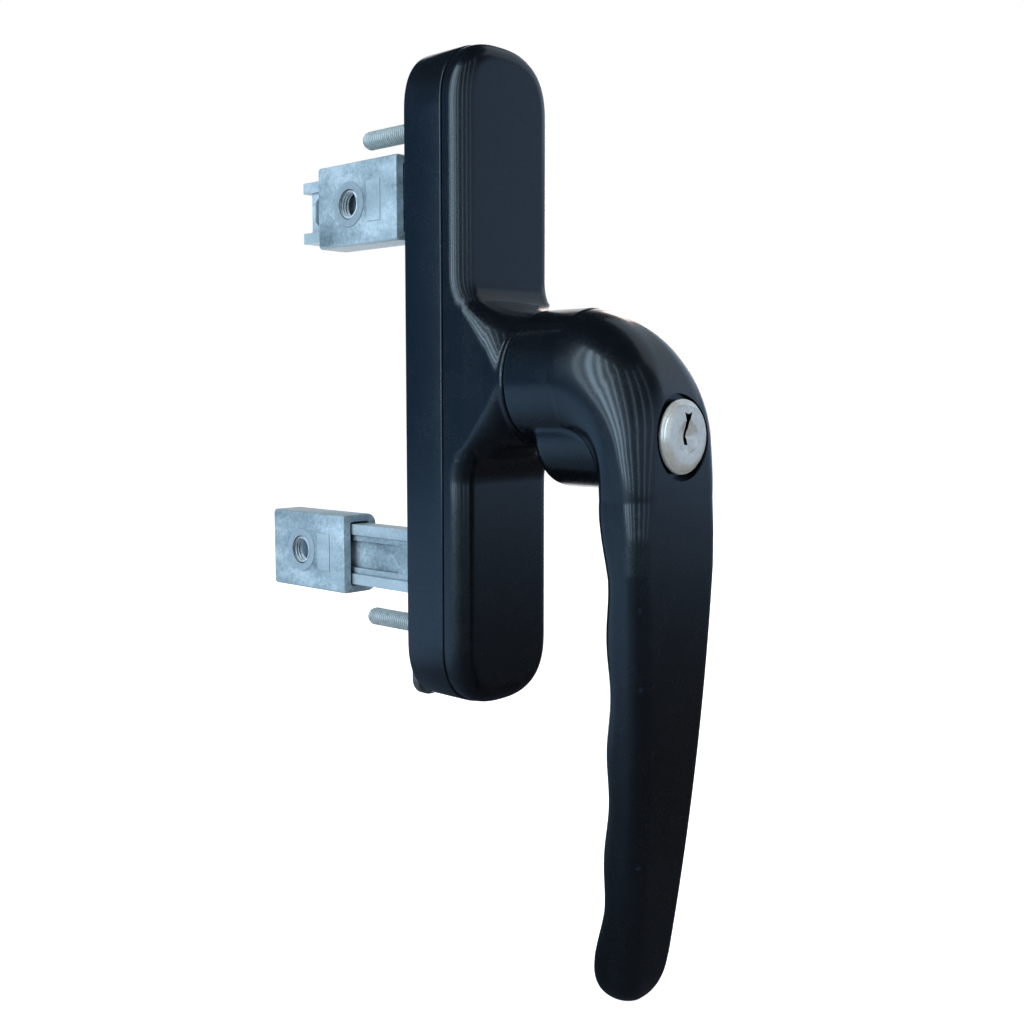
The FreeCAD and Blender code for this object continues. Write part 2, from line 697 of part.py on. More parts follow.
# Slider: rack, carriage and rearward I-section arm in one casting. The lower slider is
# the same casting turned half a turn about the spindle axis, which the side sign does.
def make_slider(label, side):
    body = new_body(label)

    def signed(formula):
        return "%d*(%s)" % (side, formula)

    carriage = sketch(body, label + "_carriage", "front", GEAR_BACK)
    rectangle(carriage, "-" + RACK_BACK, RACK_BACK, signed(CARRIAGE_LOW), signed(CARRIAGE_HIGH))
    pad(body, carriage, "GearThick")

    bar = sketch(body, label + "_bar", "front", GEAR_BACK)
    tip = PITCH_RADIUS + " - ToothModule"
    rectangle(bar, signed(tip), signed(RACK_BACK), signed("-1.5*" + TOOTH_PITCH), signed(CARRIAGE_LOW + " + 1"))
    pad(body, bar, "GearThick")

    gap = sketch(body, label + "_gap", "front", GEAR_BACK)
    slope = "tan(PressureAngle)"
    waist = "(%s/4 + Backlash/2)" % TOOTH_PITCH
    narrow = "(%s - 1.25*ToothModule*%s)" % (waist, slope)
    mouth = "(%s + (ToothModule + ToothOverrun)*%s)" % (waist, slope)
    outer = "(%s + 1.25*ToothModule)" % PITCH_RADIUS
    inner = "(%s - ToothModule - ToothOverrun)" % PITCH_RADIUS
    start = "-1.5*" + TOOTH_PITCH
    corners = [(inner, mouth), (outer, narrow), (outer, "-" + narrow), (inner, "-" + mouth)]
    polygon(gap, [(signed(x), signed("%s + %s" % (start, z))) for x, z in corners])
    cut = pocket(body, gap, "GearThick")
    rack = body.newObject("PartDesign::LinearPattern", label + "_rack")
    rack.Originals = [cut]
    rack.Direction = (gap, ["V_Axis"])
    rack.Reversed = side < 0
    count = int(round(value(TRAVEL) / value(TOOTH_PITCH))) + 4
    rack.Occurrences = count
    rack.setExpression("Length", bind("%d*%s" % (count - 1, TOOTH_PITCH)))
    body.Tip = rack
    doc.recompute()

    arm = sketch(body, label + "_arm", "front", GEAR_BACK)
    half, web = "ArmWidth/2", "(ArmWidth/2 - ArmRecess)"
    top, step = "ArmTall/2", "(ArmTall/2 - ArmFlange)"
    quarter = [(web, "0"), (web, step), (half, step), (half, top)]
    upper = quarter + [("-(%s)" % x, z) for x, z in reversed(quarter)]
    ring = upper[1:-1] + [("-(%s)" % x, "-(%s)" % z) for x, z in upper[1:-1]]
    polygon(arm, [(x, signed(ARM_HEIGHT) + " + " + z) for x, z in ring])
    pad(body, arm, "%s + ArmReach" % GEAR_BACK, back=True)

    for face in (1, -1):
        panel = sketch(body, "%s_panel_%s" % (label, "right" if face > 0 else "left"), "side",
                       "%d*(ArmWidth/2)" % face)
        begin, finish = "ArmPocketStart", "(ArmReach - ArmPocketLand)"
        low_edge = signed(ARM_HEIGHT) + " - ArmPocketTall/2"
        rectangle(panel, begin, finish, low_edge, low_edge + " + ArmPocketTall")
        pocket(body, panel, "ArmRecess + ArmPocket", forward=face < 0)

    notch = sketch(body, label + "_notch", "side")
    middle = signed(ARM_HEIGHT)
    rectangle(notch, "ArmReach - ArmNotch", "ArmReach + 1",
              middle + " - " + step, middle + " + " + step)
    pocket(body, notch)

    pocket_ends = (value("ArmPocketStart"), value("ArmReach - ArmPocketLand"))

    def pocket_corner(edge):
        box = edge.BoundBox
        along_x = box.XMax - box.XMin > 0.5 and box.ZMax - box.ZMin < 0.01
        return along_x and any(abs(box.YMin - y) < 0.01 and abs(box.YMax - y) < 0.01 for y in pocket_ends)

    dress(body, "Fillet", "ArmPocketTall/4", pocket_corner)
    return body


# Block: a zinc sleeve on the arm, with a tapped hole on its left for the drive rod's screw
def make_block(label, side, start):
    body = new_body(label)
    middle = "%d*%s" % (side, ARM_HEIGHT)
    left = "-BlockWidth/2"
    outline = sketch(body, label + "_outline", "front", "-" + start)
    rectangle(outline, left, "BlockWidth/2", middle + " - BlockTall/2", middle + " + BlockTall/2")
    pad(body, outline, "BlockDeep", back=True)
    right = value("BlockWidth/2")

    def far_edge(edge):
        box = edge.BoundBox
        return box.YMax - box.YMin > 5 and box.XMin > right - 0.01

    def near_edge(edge):
        box = edge.BoundBox
        return box.YMax - box.YMin > 5 and box.XMax < -right + 0.01

    dress(body, "Fillet", "BlockFarRound", far_edge)
    dress(body, "Fillet", "BlockNearRound", near_edge)

    ring = sketch(body, label + "_ring", "side", left + " + FuseDepth")
    hole_y = "(%s + BlockHoleSetback)" % start
    circle(ring, hole_y, middle, "BlockRingRadius")
    pad(body, ring, "BlockRingRise + FuseDepth", back=True)

    bore = sketch(body, label + "_bore", "front")
    wide, tall = "(ArmWidth/2 + SlideFit)", "(ArmTall/2 + SlideFit)"
    rectangle(bore, "-" + wide, wide, middle + " - " + tall, middle + " + " + tall)
    pocket(body, bore)

    stop = sketch(body, label + "_stop", "side", "-ArmWidth/2 - SlideFit - FuseDepth")
    circle(stop, "%s + StopSetback" % start, middle, "StopRadius")
    pad(body, stop, "FuseDepth + SlideFit + ArmRecess + ArmPocket/2")

    hole = sketch(body, label + "_hole", "side", left + " - BlockRingRise")
    circle(hole, hole_y, middle, "BlockHoleRadius")
    pocket(body, hole, "BlockRingRise + BlockWidth/2 - ArmWidth/2 - SlideFit + RunningFit")
    return body


# Turned bearing parts in the neck
def make_bush():
    bore, wall = "(SpigotRadius + RunningFit)", "(SpigotRadius + BushWall)"
    front = "(%s - RingThick - SeatFit)" % NECK_END
    return turned("spindle_bush", [
        ("-" + BUSH_BACK, bore), ("-" + BUSH_BACK, "BushFlangeRadius"),
        ("-" + COVER_INSIDE, "BushFlangeRadius"), ("-" + COVER_INSIDE, wall),
        ("-" + front, wall), ("-" + front, bore),
    ])


def make_flat_ring(label, back, thick, inner, outer):
    front = "(%s + %s)" % (back, thick)
    return turned(label, [
        ("-" + back, inner), ("-" + back, outer), ("-" + front, outer), ("-" + front, inner),
    ])


def make_circlip():
    body = new_body("circlip")
    inner = "(SpigotRadius - CirclipGroove + RunningFit)"
    ring = sketch(body, "circlip_ring", "front", CLIP_BACK)
    circle(ring, "0", "0", inner + " + CirclipRadial")
    circle(ring, "0", "0", inner)
    pad(body, ring, "CirclipThick")
    mouth = sketch(body, "circlip_mouth", "front", CLIP_BACK)
    rectangle(mouth, "-CirclipMouth/2", "CirclipMouth/2", inner + " - CirclipEarRise", "SpigotRadius + 2*CirclipRadial")
    pocket(body, mouth, "CirclipThick")
    ears = sketch(body, "circlip_ears", "front", CLIP_BACK)
    for side in (1, -1):
        circle(ears, "%d*CirclipEarSpacing/2" % side, "SpigotRadius + CirclipEarRise", "CirclipEarRadius")
    pad(body, ears, "CirclipThick")
    holes = sketch(body, "circlip_holes", "front", CLIP_BACK)
    for side in (1, -1):
        circle(holes, "%d*CirclipEarSpacing/2" % side, "SpigotRadius + CirclipEarRise", "CirclipEarHole")
    pocket(body, holes, "CirclipThick")
    return body


def make_strike_ring():
    body = new_body("strike_ring")
    ring = sketch(body, "strike_ring_face", "front", NECK_END + " - RingThick")
    circle(ring, "0", "0", "RingRadius")
    circle(ring, "0", "0", "SpigotRadius + SlideFit")
    # One hole below for the closed lever, one to the left for the lever turned open
    circle(ring, "0", "-LockDrop", "PinRadius + SeatFit")
    circle(ring, "-LockDrop", "0", "PinRadius + SeatFit")
    pad(body, ring, "RingThick")
    return body


def make_spindle():
    body = new_body("spindle")
    square = sketch(body, "spindle_square", "front", "SpindleRear")
    half = "SpindleSquare/2"
    rectangle(square, "-" + half, half, "-" + half, half)
    pad(body, square, "SpindleFront - SpindleRear")
    dress(body, "Chamfer", "EdgeRound", lambda edge: edge.BoundBox.YLength > 5)
    return body


# Screws: the thread is surface detail, so its length is a plain cylinder. The fixing screws
# have a reduced shank, as rolled threads do, up to where they leave the chassis bosses.
def make_fixing_screws():
    screws = []
    thread = "(BossHeight + SlideFit)"
    for name, side in (("upper", 1), ("lower", -1)):
        seat = "(PlateThick + ScrewWasherThick)"
        crown = "(PlateThick + ScrewWasherThick + ScrewHeadThick)"
        screws.append(turned("fixing_screw_" + name, [
            ("-" + crown, "0"), ("-" + crown, "ScrewHeadRadius - ScrewHeadEdge"),
            ("-%s + ScrewHeadEdge" % crown, "ScrewHeadRadius"), ("-" + seat, "ScrewHeadRadius"),
            ("-" + seat, "ScrewShankRadius"), (thread, "ScrewShankRadius"), (thread, "ScrewRadius"),
            ("ScrewReach - ScrewTip", "ScrewRadius"),
            ("ScrewReach", "ScrewRadius - ScrewTip"), ("ScrewReach", "0"),
        ], z="%d*%s" % (side, SCREW_HEIGHT)))
    return group("fixing_screws", screws)


def make_screw_washers():
    washers = []
    front = "(PlateThick + ScrewWasherThick)"
    for name, side in (("upper", 1), ("lower", -1)):
        washers.append(turned("screw_washer_" + name, [
            ("-PlateThick", "ScrewRadius + SeatFit"), ("-PlateThick", "ScrewWasherRadius"),
            ("-" + front, "ScrewWasherRadius"), ("-" + front, "ScrewRadius + SeatFit"),
        ], z="%d*%s" % (side, SCREW_HEIGHT)))
    return group("screw_washers", washers)


def make_cover_screws():
    screws = []
    heights = {"inner": INNER_SCREW, "outer": OUTER_SCREW}
    for place, height in heights.items():
        for name, side in (("upper", 1), ("lower", -1)):
            seat = "(SmallHeadThick + SeatFit)"
            end = "(%s - SmallScrewTip)" % COVER_INSIDE
            screws.append(turned("cover_screw_%s_%s" % (place, name), [
                ("-SeatFit", "0"), ("-SeatFit", "SmallHeadRadius"), ("-" + seat, "SmallHeadRadius"),
                ("-" + seat, "SmallScrewRadius"), ("-" + end, "SmallScrewRadius"), ("-" + end, "0"),
            ], z="%d*%s" % (side, height)))
    return group("cover_screws", screws)


# Lever: round neck, elbow and flat tapering grip in one loft through rounded sections
def lever_sections():
    """Centre (Y, Z), tilt about X, half width, half depth and corner of each section."""
    neck = "LeverNeckRadius"
    pivot_y = "(LeverFront - ElbowOuter)"
    pivot_z = "(LeverNeckRadius + ElbowInner)"
    corner = "0.97*LeverNeckRadius"
    sections = []
    steps = 4
    for i in range(steps):
        depth = "(%s + (%s - %s)*%.2f)" % (LEVER_START, pivot_y, LEVER_START, i / float(steps))
        sections.append(("-" + depth, "0", "-90", neck, neck, corner))
    # Round the elbow the sections fan out from the centre of its inner curve. The outer
    # curve is an arc that runs on into the straight front of the grip.
    turns = 6
    offset = "(2*LeverNeckRadius + ElbowInner - ElbowOuter)"
    switch = math.degrees(math.atan2(value("ElbowOuter"), value(offset)))
    for i in range(turns + 1):
        share = i / float(turns)
        angle = 90.0 * share
        sine, cosine = "sin(%.1f)" % angle, "cos(%.1f)" % angle
        if angle < switch:
            reach = "(%s*%s + sqrt(ElbowOuter^2 - (%s*%s)^2))" % (offset, cosine, offset, sine)
        else:
            reach = "(ElbowOuter/%s)" % sine
        middle = "((%s + ElbowInner)/2)" % reach
        depth = "((%s - ElbowInner)/2)" % reach
        width = "(LeverNeckRadius + (HeadWidth/2 - LeverNeckRadius)*%.3f)" % share
        bend = "(0.97*LeverNeckRadius + (GripRound + 1 - 0.97*LeverNeckRadius)*%.3f)" % (share * (2 - share))
        sections.append(("-%s - %s*%s" % (pivot_y, middle, sine), "-%s + %s*%s" % (pivot_z, middle, cosine),
                         "%.1f" % (angle - 90), width, depth, "min(%s; 0.97*%s)" % (bend, depth)))
    # The grip has three sections to each of its finger waves, then two at its tip
    waves = int(round(value("(LeverLength - TipLength - WaveStart)/(WavePitch/3)")))
    stations = ["(WaveStart + WavePitch/3*%d)" % i for i in range(waves + 1)]
    for i, reach in enumerate(stations + ["(LeverLength - TipLength/3)"]):
        bow = "(max(0; %s - BowStart)^2/(2*BowRadius))" % reach
        wave = "(GripWave*cos((%s - WaveStart)/WavePitch*360))" % reach
        swell = "(max(0; %s/LeverLength - 0.84)*13 + max(0; 0.3 - %s/LeverLength)*18)" % (reach, reach)
        deep = "(GripDepth + %s + %s)" % (wave, swell)
        width = "(HeadWidth - WidthTaper*max(0; %s - TaperStart))/2" % reach
        front = "(-LeverFront + %s)" % bow
        shrink = 1.0 if i < len(stations) else 0.84
        depth = "(%s/2*%.2f)" % (deep, shrink)
        sections.append(("%s + %s/2" % (front, deep), "-" + reach, "0",
                         "(%s*%.2f)" % (width, shrink), depth, "min(GripRound; 0.9*%s)" % depth))
    reach = "LeverLength"
    bow = "((LeverLength - BowStart)^2/(2*BowRadius))"
    width = "(HeadWidth - WidthTaper*(LeverLength - TaperStart))/2"
    sections.append(("-LeverFront + %s + GripDepth/2 + 0.8" % bow, "-" + reach, "0",
                     width + "*0.45", "GripDepth/2*0.45", "GripDepth/2*0.4"))
    return sections


def make_lever():
    body = new_body("lever")
    # The boss behind the elbow carries the lock's barrel, its rear edge is rounded
    boss = sketch(body, "lever_boss", "front", "LockBossRear")
    circle(boss, "0", "-LockDrop", "LockBossRadius")
    pad(body, boss, "LeverFront - GripDepth - LockBossRear")
    rear = value("LockBossRear")
    dress(body, "Fillet", "LockBossRound", lambda edge: at_depth(edge, rear))

    profiles = []
    for i, (y, z, tilt, half_width, half_depth, corner) in enumerate(lever_sections()):
        made = sketch(body, "lever_section_%d" % i, "top")
        made.AttachmentOffset = Placement(Vector(0, value(y), value(z)), Rotation(Vector(1, 0, 0), value(tilt)))
        made.setExpression("AttachmentOffset.Base.y", bind(y))
        made.setExpression("AttachmentOffset.Base.z", bind(z))
        rounded_rectangle(made, half_width, half_depth, corner)
        profiles.append(made)
    doc.recompute()
    grip = body.newObject("PartDesign::AdditiveLoft", "lever_loft")
    grip.Profile = profiles[0]
    grip.Sections = profiles[1:]
    grip.Ruled = False
    doc.recompute()

    spigot = sketch(body, "lever_spigot", "front", SPIGOT_BACK)
    circle(spigot, "0", "0", "SpigotRadius")
    pad(body, spigot, "%s - %s + FuseDepth" % (LEVER_START, SPIGOT_BACK))
    groove = sketch(body, "lever_groove", "front", CLIP_BACK + " - RunningFit")
    circle(groove, "0", "0", "SpigotRadius + CirclipRadial")
    circle(groove, "0", "0", "SpigotRadius - CirclipGroove")
    pocket(body, groove, "CirclipThick + 2*RunningFit")

    square = sketch(body, "lever_square", "front", SPIGOT_BACK)
    half = "(SpindleSquare/2 + RunningFit)"
    rectangle(square, "-" + half, half, "-" + half, half)
    pocket(body, square, "SpindleFront + FuseDepth - %s" % SPIGOT_BACK)

    floor = "(LockFace - FaceThick - FlangeThick)"
    recess = sketch(body, "lever_recess", "front", floor)
    circle(recess, "0", "-LockDrop", "RecessRadius")
    pocket(body, recess, "ElbowOuter")
    barrel_back = "(%s - BarrelLength - ClipThick - PlugEnd - SeatFit)" % floor
    barrel = sketch(body, "lever_barrel_bore", "front", barrel_back)
    circle(barrel, "0", "-LockDrop", "BarrelRadius + RunningFit")
    pocket(body, barrel, "%s - %s + 1" % (floor, barrel_back))
    channel = sketch(body, "lever_pin_bore", "front", LEVER_START)
    circle(channel, "0", "-LockDrop", "PinRadius + RunningFit")
    pocket(body, channel, "%s - %s + 1" % (barrel_back, LEVER_START))
    retainer = sketch(body, "lever_retainer_bore", "top", "-LockDrop - LockBossRadius - 1")
    circle(retainer, "0", "-RetainerDepth", "RetainerRadius + RunningFit")
    pocket(body, retainer, "LockBossRadius - BarrelRadius + 2")
    return body


# Lock: barrel, key plug, clip, locking pin and the pin that holds the barrel
def make_lock():
    floor = "(LockFace - FaceThick - FlangeThick)"
    flange_front = "(LockFace - FaceThick)"
    back = "(%s - BarrelLength)" % floor
    bore = "(PlugRadius + RunningFit)"
    height = "-LockDrop"
    case = turned("lock_barrel_case", [
        ("-" + back, bore), ("-" + back, "BarrelRadius"), ("-" + floor, "BarrelRadius"),
        ("-" + floor, "FlangeRadius"), ("-%s + FaceBevel" % flange_front, "FlangeRadius"),
        ("-" + flange_front, "FlangeRadius - FaceBevel"), ("-" + flange_front, bore),
    ], z=height)
    drill = doc.addObject("Part::Cylinder", "lock_barrel_drill")
    drill.setExpression("Radius", bind("RetainerRadius + RunningFit"))
    drill.setExpression("Height", bind("FuseDepth + 1"))
    drill.setExpression("Placement.Base.y", bind("-RetainerDepth"))
    drill.setExpression("Placement.Base.z", bind("-LockDrop - BarrelRadius - FuseDepth"))
    barrel = doc.addObject("Part::Cut", "lock_barrel")
    barrel.Label = "lock_barrel"
    barrel.Base = case
    barrel.Tool = drill

    retainer = doc.addObject("Part::Cylinder", "barrel_pin")
    retainer.Label = "barrel_pin"
    retainer.setExpression("Radius", bind("RetainerRadius"))
    retainer.setExpression("Height", bind("LockBossRadius - BarrelRadius + FuseDepth"))
    retainer.setExpression("Placement.Base.y", bind("-RetainerDepth"))
    retainer.setExpression("Placement.Base.z", bind("-LockDrop - LockBossRadius + RetainerEnd"))

    tail_end = "(%s + PinSetback + TailLength)" % LEVER_START
    clip_back = "(%s - ClipThick)" % back
    neck_back = "(%s - PlugEnd)" % clip_back
    plug = new_body("key_plug")
    shape = sketch(plug, "key_plug_profile", "side")
    polygon(shape, [
        ("-" + tail_end, "0"), ("-" + tail_end, "TailRadius"), ("-" + neck_back, "TailRadius"),
        ("-" + neck_back, "PlugRadius"), ("-%s + RunningFit" % clip_back, "PlugRadius"),
        ("-%s + RunningFit" % clip_back, "PlugNeckRadius"), ("-" + back, "PlugNeckRadius"),
        ("-" + back, "PlugRadius"), ("-%s - RunningFit" % flange_front, "PlugRadius"),
        ("-%s - RunningFit" % flange_front, "FaceRadius"), ("-LockFace + FaceBevel", "FaceRadius"),
        ("-LockFace", "FaceRadius - FaceBevel"), ("-LockFace", "DimpleRadius"),
        ("-LockFace + DimpleDepth", "0"),
    ])
    revolve(plug, shape)
    keyway = sketch(plug, "key_plug_keyway", "front", "LockFace")
    rectangle(keyway, "-KeyWidth/2", "KeyWidth/2", "-KeyTall/2", "KeyTall/2")
    pocket(plug, keyway, "KeyDepth", forward=False)
    plug.setExpression("Placement.Base.z", bind(height))

    clip = turned("plug_clip", [
        ("-" + clip_back, "PlugNeckRadius + RunningFit"), ("-" + clip_back, "ClipRadius"),
        ("-" + back, "ClipRadius"), ("-" + back, "PlugNeckRadius + RunningFit"),
    ], z=height)

    pin_back = "(%s + PinSetback)" % LEVER_START
    pin_front = "(%s - SlideFit)" % neck_back
    hollow_end = "(%s - 1)" % tail_end
    pin_piece = turned("locking_pin", [
        ("-" + pin_back, "0"), ("-" + pin_back, "PinRadius - PinNose"), ("-%s - PinNose" % pin_back, "PinRadius"),
        ("-" + pin_front, "PinRadius"), ("-" + pin_front, "TailRadius + RunningFit"),
        ("-" + hollow_end, "TailRadius + RunningFit"), ("-" + hollow_end, "0"),
    ], z=height)
    return [barrel, retainer, plug, clip, pin_piece]


parts = [
    make_base_shell(),
    make_joint_gasket(),
    make_front_cover(),
    make_chassis(),
    make_gear_cover(),
    make_pinion(),
    make_slider("upper_slider", 1),
    make_slider("lower_slider", -1),
    make_block("upper_block", 1, "UpperBlockStart"),
    make_block("lower_block", -1, "LowerBlockStart"),
    make_bush(),
    make_flat_ring("wave_washer", WAVE_BACK, "WaveThick", "SpigotRadius + SeatFit", "SpigotRadius + WaveWidth"),
    make_flat_ring("thrust_washer", WASHER_BACK, "WasherThick", "SpigotRadius + SeatFit", "SpigotRadius + WasherWidth"),
    make_circlip(),
    make_strike_ring(),
    make_spindle(),
    make_fixing_screws(),
    make_screw_washers(),
    make_cover_screws(),
    make_lever(),
] + make_lock()
doc.recompute()

for item in doc.Objects:
    if "Invalid" in item.State or "Error" in item.State:
        raise RuntimeError("%s is %s" % (item.Name, item.State))
os.makedirs("parts", exist_ok=True)
for part in parts:
    if part.Shape.isNull() or not part.Shape.isValid():
        raise RuntimeError("%s has no valid shape" % part.Label)
    part.Shape.exportStep("parts/%s.step" % part.Label)
    print("%-16s %2d solids %9.1f mm3" % (part.Label, len(part.Shape.Solids), part.Shape.Volume))
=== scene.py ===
# %% [markdown]
# # A locking shutter handle, dressed over its CAD frame
# This handle sits on a window shutter. A lever turns a pinion inside a slim housing, two racks
# carry arms out of the back, and a clamp block on each arm takes one end of the drive rods.
# The CAD model is loaded as a fixed frame. Each cell below makes one piece, or one finish.

# %% Load the CAD frame
import math

import bmesh
import bpy
import numpy as np
from mathutils import Matrix, Vector
from mathutils.bvhtree import BVHTree


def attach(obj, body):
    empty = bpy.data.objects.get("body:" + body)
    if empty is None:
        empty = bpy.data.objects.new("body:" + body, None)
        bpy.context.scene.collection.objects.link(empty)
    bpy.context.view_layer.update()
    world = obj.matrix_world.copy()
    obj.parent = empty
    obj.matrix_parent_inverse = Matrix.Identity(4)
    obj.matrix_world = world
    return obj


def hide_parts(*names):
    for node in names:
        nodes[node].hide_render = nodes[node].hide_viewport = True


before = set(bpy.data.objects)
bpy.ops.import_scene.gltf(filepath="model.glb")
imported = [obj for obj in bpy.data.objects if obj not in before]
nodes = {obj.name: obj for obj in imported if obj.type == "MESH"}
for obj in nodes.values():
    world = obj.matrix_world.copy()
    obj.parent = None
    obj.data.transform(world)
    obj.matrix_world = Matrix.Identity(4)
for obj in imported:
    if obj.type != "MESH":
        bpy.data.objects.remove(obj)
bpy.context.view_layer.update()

# %% [markdown]
# ## Sizes
# The frame is in metres with X to the right, Y to the rear and Z up. The maker's drawing is in
# millimetres. Its depths are measured forward from the mounting face, so depth 20 is Y = -0.020,
# and its heights from the spindle's axis. The script could be written in metres throughout, but
# it keeps the drawing's numbers and converts them in one place, so they are easy to compare.

# %% Sizes of the housing, and points of the drawing
MM = 0.001
HALF_LENGTH, HALF_WIDTH = 82.5, 17.0
COVER_BACK, COVER_FRONT, NECK_END = 13.7, 19.7, 32.65
# the ends of the outline: 2 would be half round
END_POWER = 2.5


def placed(across, depth, height):
    """A point of the drawing, in metres."""
    return Vector((across * MM, -depth * MM, height * MM))


def level(points, depth, height=0.0):
    """A section's points (across, height), laid at one depth."""
    return [placed(x, depth, height + z) for x, z in points]


# %% [markdown]
# ## Turned and swept pieces
# Most pieces here are rings of points joined into a skin. A turned piece has circles as rings,
# a housing has stadium shapes, and the lever has rounded rectangles. A Screw modifier or a bevelled
# curve would make such skins too. The rings are written directly, because each point then lies on
# the true surface and the reflections stay clean.

# %% Helper: a skin through rings of points
def in_scene(name, data):
    """An object that holds the data, linked to the scene."""
    made = bpy.data.objects.new(name, data)
    bpy.context.scene.collection.objects.link(made)
    return made


def mesh_data(name, form):
    """A bmesh becomes mesh data and is freed."""
    data = bpy.data.meshes.new(name)
    form.to_mesh(data)
    form.free()
    return data


def skin(name, rings, around=False):
    """rings: (count, points, 3) in metres. With around, the last ring joins the first."""
    rings = np.asarray(rings, float)
    count, points, _ = rings.shape
    form = bmesh.new()
    spots = [[form.verts.new(p) for p in ring] for ring in rings]
    for i in range(count if around else count - 1):
        low, high = spots[i], spots[(i + 1) % count]
        for j in range(points):
            k = (j + 1) % points
            form.faces.new((low[j], low[k], high[k], high[j]))
    if not around:
        form.faces.new(list(reversed(spots[0])))
        form.faces.new(spots[-1])
    bmesh.ops.remove_doubles(form, verts=form.verts, dist=1e-7)
    bmesh.ops.recalc_face_normals(form, faces=form.faces)
    return in_scene(name, mesh_data(name, form))


def prism(name, outline, start, end, height=0.0):
    """An outline carried straight from one depth to another."""
    return skin(name, [level(outline, depth, height) for depth in (start, end)])


def triangles(piece):
    return sum(len(f.vertices) - 2 for f in piece.data.polygons)


# %% Helper: smooth shading, and small rounds on the corners of a profile
def shaded(piece, angle=35):
    """Smooth shading, with edges sharper than the angle kept crisp."""
    for face in piece.data.polygons:
        face.use_smooth = True
    piece.data.set_sharp_from_angle(angle=math.radians(angle))
    return piece


def softened(profile, size, loop, steps=3):
    """Each corner of a profile becomes a small arc, so that its edge catches the light."""
    if not size:
        return profile
    profile = [np.array(p, float) for p in profile]
    count = len(profile)
    out = []
    for i, corner in enumerate(profile):
        if not loop and i in (0, count - 1):
            out.append(corner)
            continue
        before, after = profile[i - 1] - corner, profile[(i + 1) % count] - corner
        reach = min(size, 0.45 * np.linalg.norm(before), 0.45 * np.linalg.norm(after))
        start = corner + before / np.linalg.norm(before) * reach
        end = corner + after / np.linalg.norm(after) * reach
        for s in range(steps + 1):
            t = s / steps
            out.append((1 - t) ** 2 * start + 2 * t * (1 - t) * corner + t * t * end)
    return out


# %% Helper: turned pieces and stadium sweeps
def circle(radius, segments):
    angles = np.linspace(0, 2 * math.pi, segments, endpoint=False)
    return [(radius * math.cos(a), radius * math.sin(a)) for a in angles]


def rectangle(half_wide, half_tall):
    return [(x * half_wide, z * half_tall) for x, z in ((1, 1), (-1, 1), (-1, -1), (1, -1))]


def powered(value, power):
    """A power that keeps the sign."""
    return math.copysign(abs(value) ** power, value)


def turned(name, profile, height=0.0, segments=96, soft=0.0, loop=False):
    """profile: (depth, radius) in mm, turned about an axis along Y. With loop it is closed."""
    line = softened(profile, soft, loop)
    rings = [level(circle(radius, segments), depth, height) for depth, radius in line]
    return shaded(skin(name, rings, around=loop))


def stadium(inset, arc=44, side=24):
    """The housing's outline, moved inward: straight sides and squarish round ends."""
    straight = HALF_LENGTH - HALF_WIDTH
    points = []
    for end in (1, -1):
        for a in np.linspace(0, math.pi, arc, endpoint=False):
            u = powered(end * math.cos(a), 2 / END_POWER)
            v = powered(end * math.sin(a), 2 / END_POWER)
            out = np.array([powered(u, END_POWER - 1), powered(v, END_POWER - 1)])
            spot = np.array([HALF_WIDTH * u, end * straight + HALF_WIDTH * v])
            points.append(spot - inset * out / np.linalg.norm(out))
        for t in np.linspace(0, 1, side, endpoint=False):
            points.append((-end * (HALF_WIDTH - inset), end * straight * (1 - 2 * t)))
    return points


def swept(name, profile, soft):
    """profile: (inset from the housing's outline, depth) in mm, swept round the stadium."""
    rings = [level(stadium(inset), depth) for inset, depth in softened(profile, soft, True)]
    return shaded(skin(name, rings, around=True))


# %% Helper: baking modifiers into a plain mesh, booleans and merging
def baked(piece):
    """The evaluated mesh takes the place of the mesh and its modifiers."""
    bpy.context.view_layer.update()
    seen = piece.evaluated_get(bpy.context.evaluated_depsgraph_get())
    data = bpy.data.meshes.new_from_object(seen)
    piece.modifiers.clear()
    piece.data = data
    return piece


def joined_by(piece, tool, operation="DIFFERENCE"):
    """An exact boolean, after which the tool is gone."""
    step = piece.modifiers.new(operation, "BOOLEAN")
    step.operation, step.solver, step.object = operation, "EXACT", tool
    baked(piece)
    bpy.data.objects.remove(tool)


def merged(name, pieces):
    """Several meshes in one object, which keeps their materials."""
    form = bmesh.new()
    slots = []
    for piece in pieces:
        start = len(form.faces)
        form.from_mesh(piece.data)
        form.faces.ensure_lookup_table()
        own = list(piece.data.materials)
        for face in form.faces[start:]:
            if own:
                wanted = own[min(face.material_index, len(own) - 1)]
                if wanted not in slots:
                    slots.append(wanted)
                face.material_index = slots.index(wanted)
    data = mesh_data(name, form)
    for coating in slots:
        data.materials.append(coating)
    for piece in pieces:
        bpy.data.objects.remove(piece)
    return in_scene(name, data)


# %% [markdown]
# ## Node helpers for the finishes
# Each finish is a small shader tree. Trees could be drawn by hand in the editor, but a helper keeps
# them in the script: it takes a node's inputs as keywords, links a socket, and sets any other value.
# A keyword such as _0 is the number of an input, for nodes whose inputs share a name.

# %% Helper: shader and geometry nodes
def fed(tree, node, **inputs):
    """Links or sets each input of a node that is named."""
    for key, given in inputs.items():
        key = int(key[1:]) if key[0] == "_" and key[1:].isdigit() else key.replace("_", " ")
        if isinstance(given, bpy.types.NodeSocket):
            tree.links.new(given, node.inputs[key])
        else:
            node.inputs[key].default_value = given
    return node


def add(tree, kind, settings=None, **inputs):
    made = tree.nodes.new(kind)
    for key, setting in (settings or {}).items():
        setattr(made, key, setting)
    return fed(tree, made, **inputs)


def maths(tree, operation, a, b=0.0, c=0.0):
    return add(tree, "ShaderNodeMath", {"operation": operation}, _0=a, _1=b, _2=c).outputs["Value"]


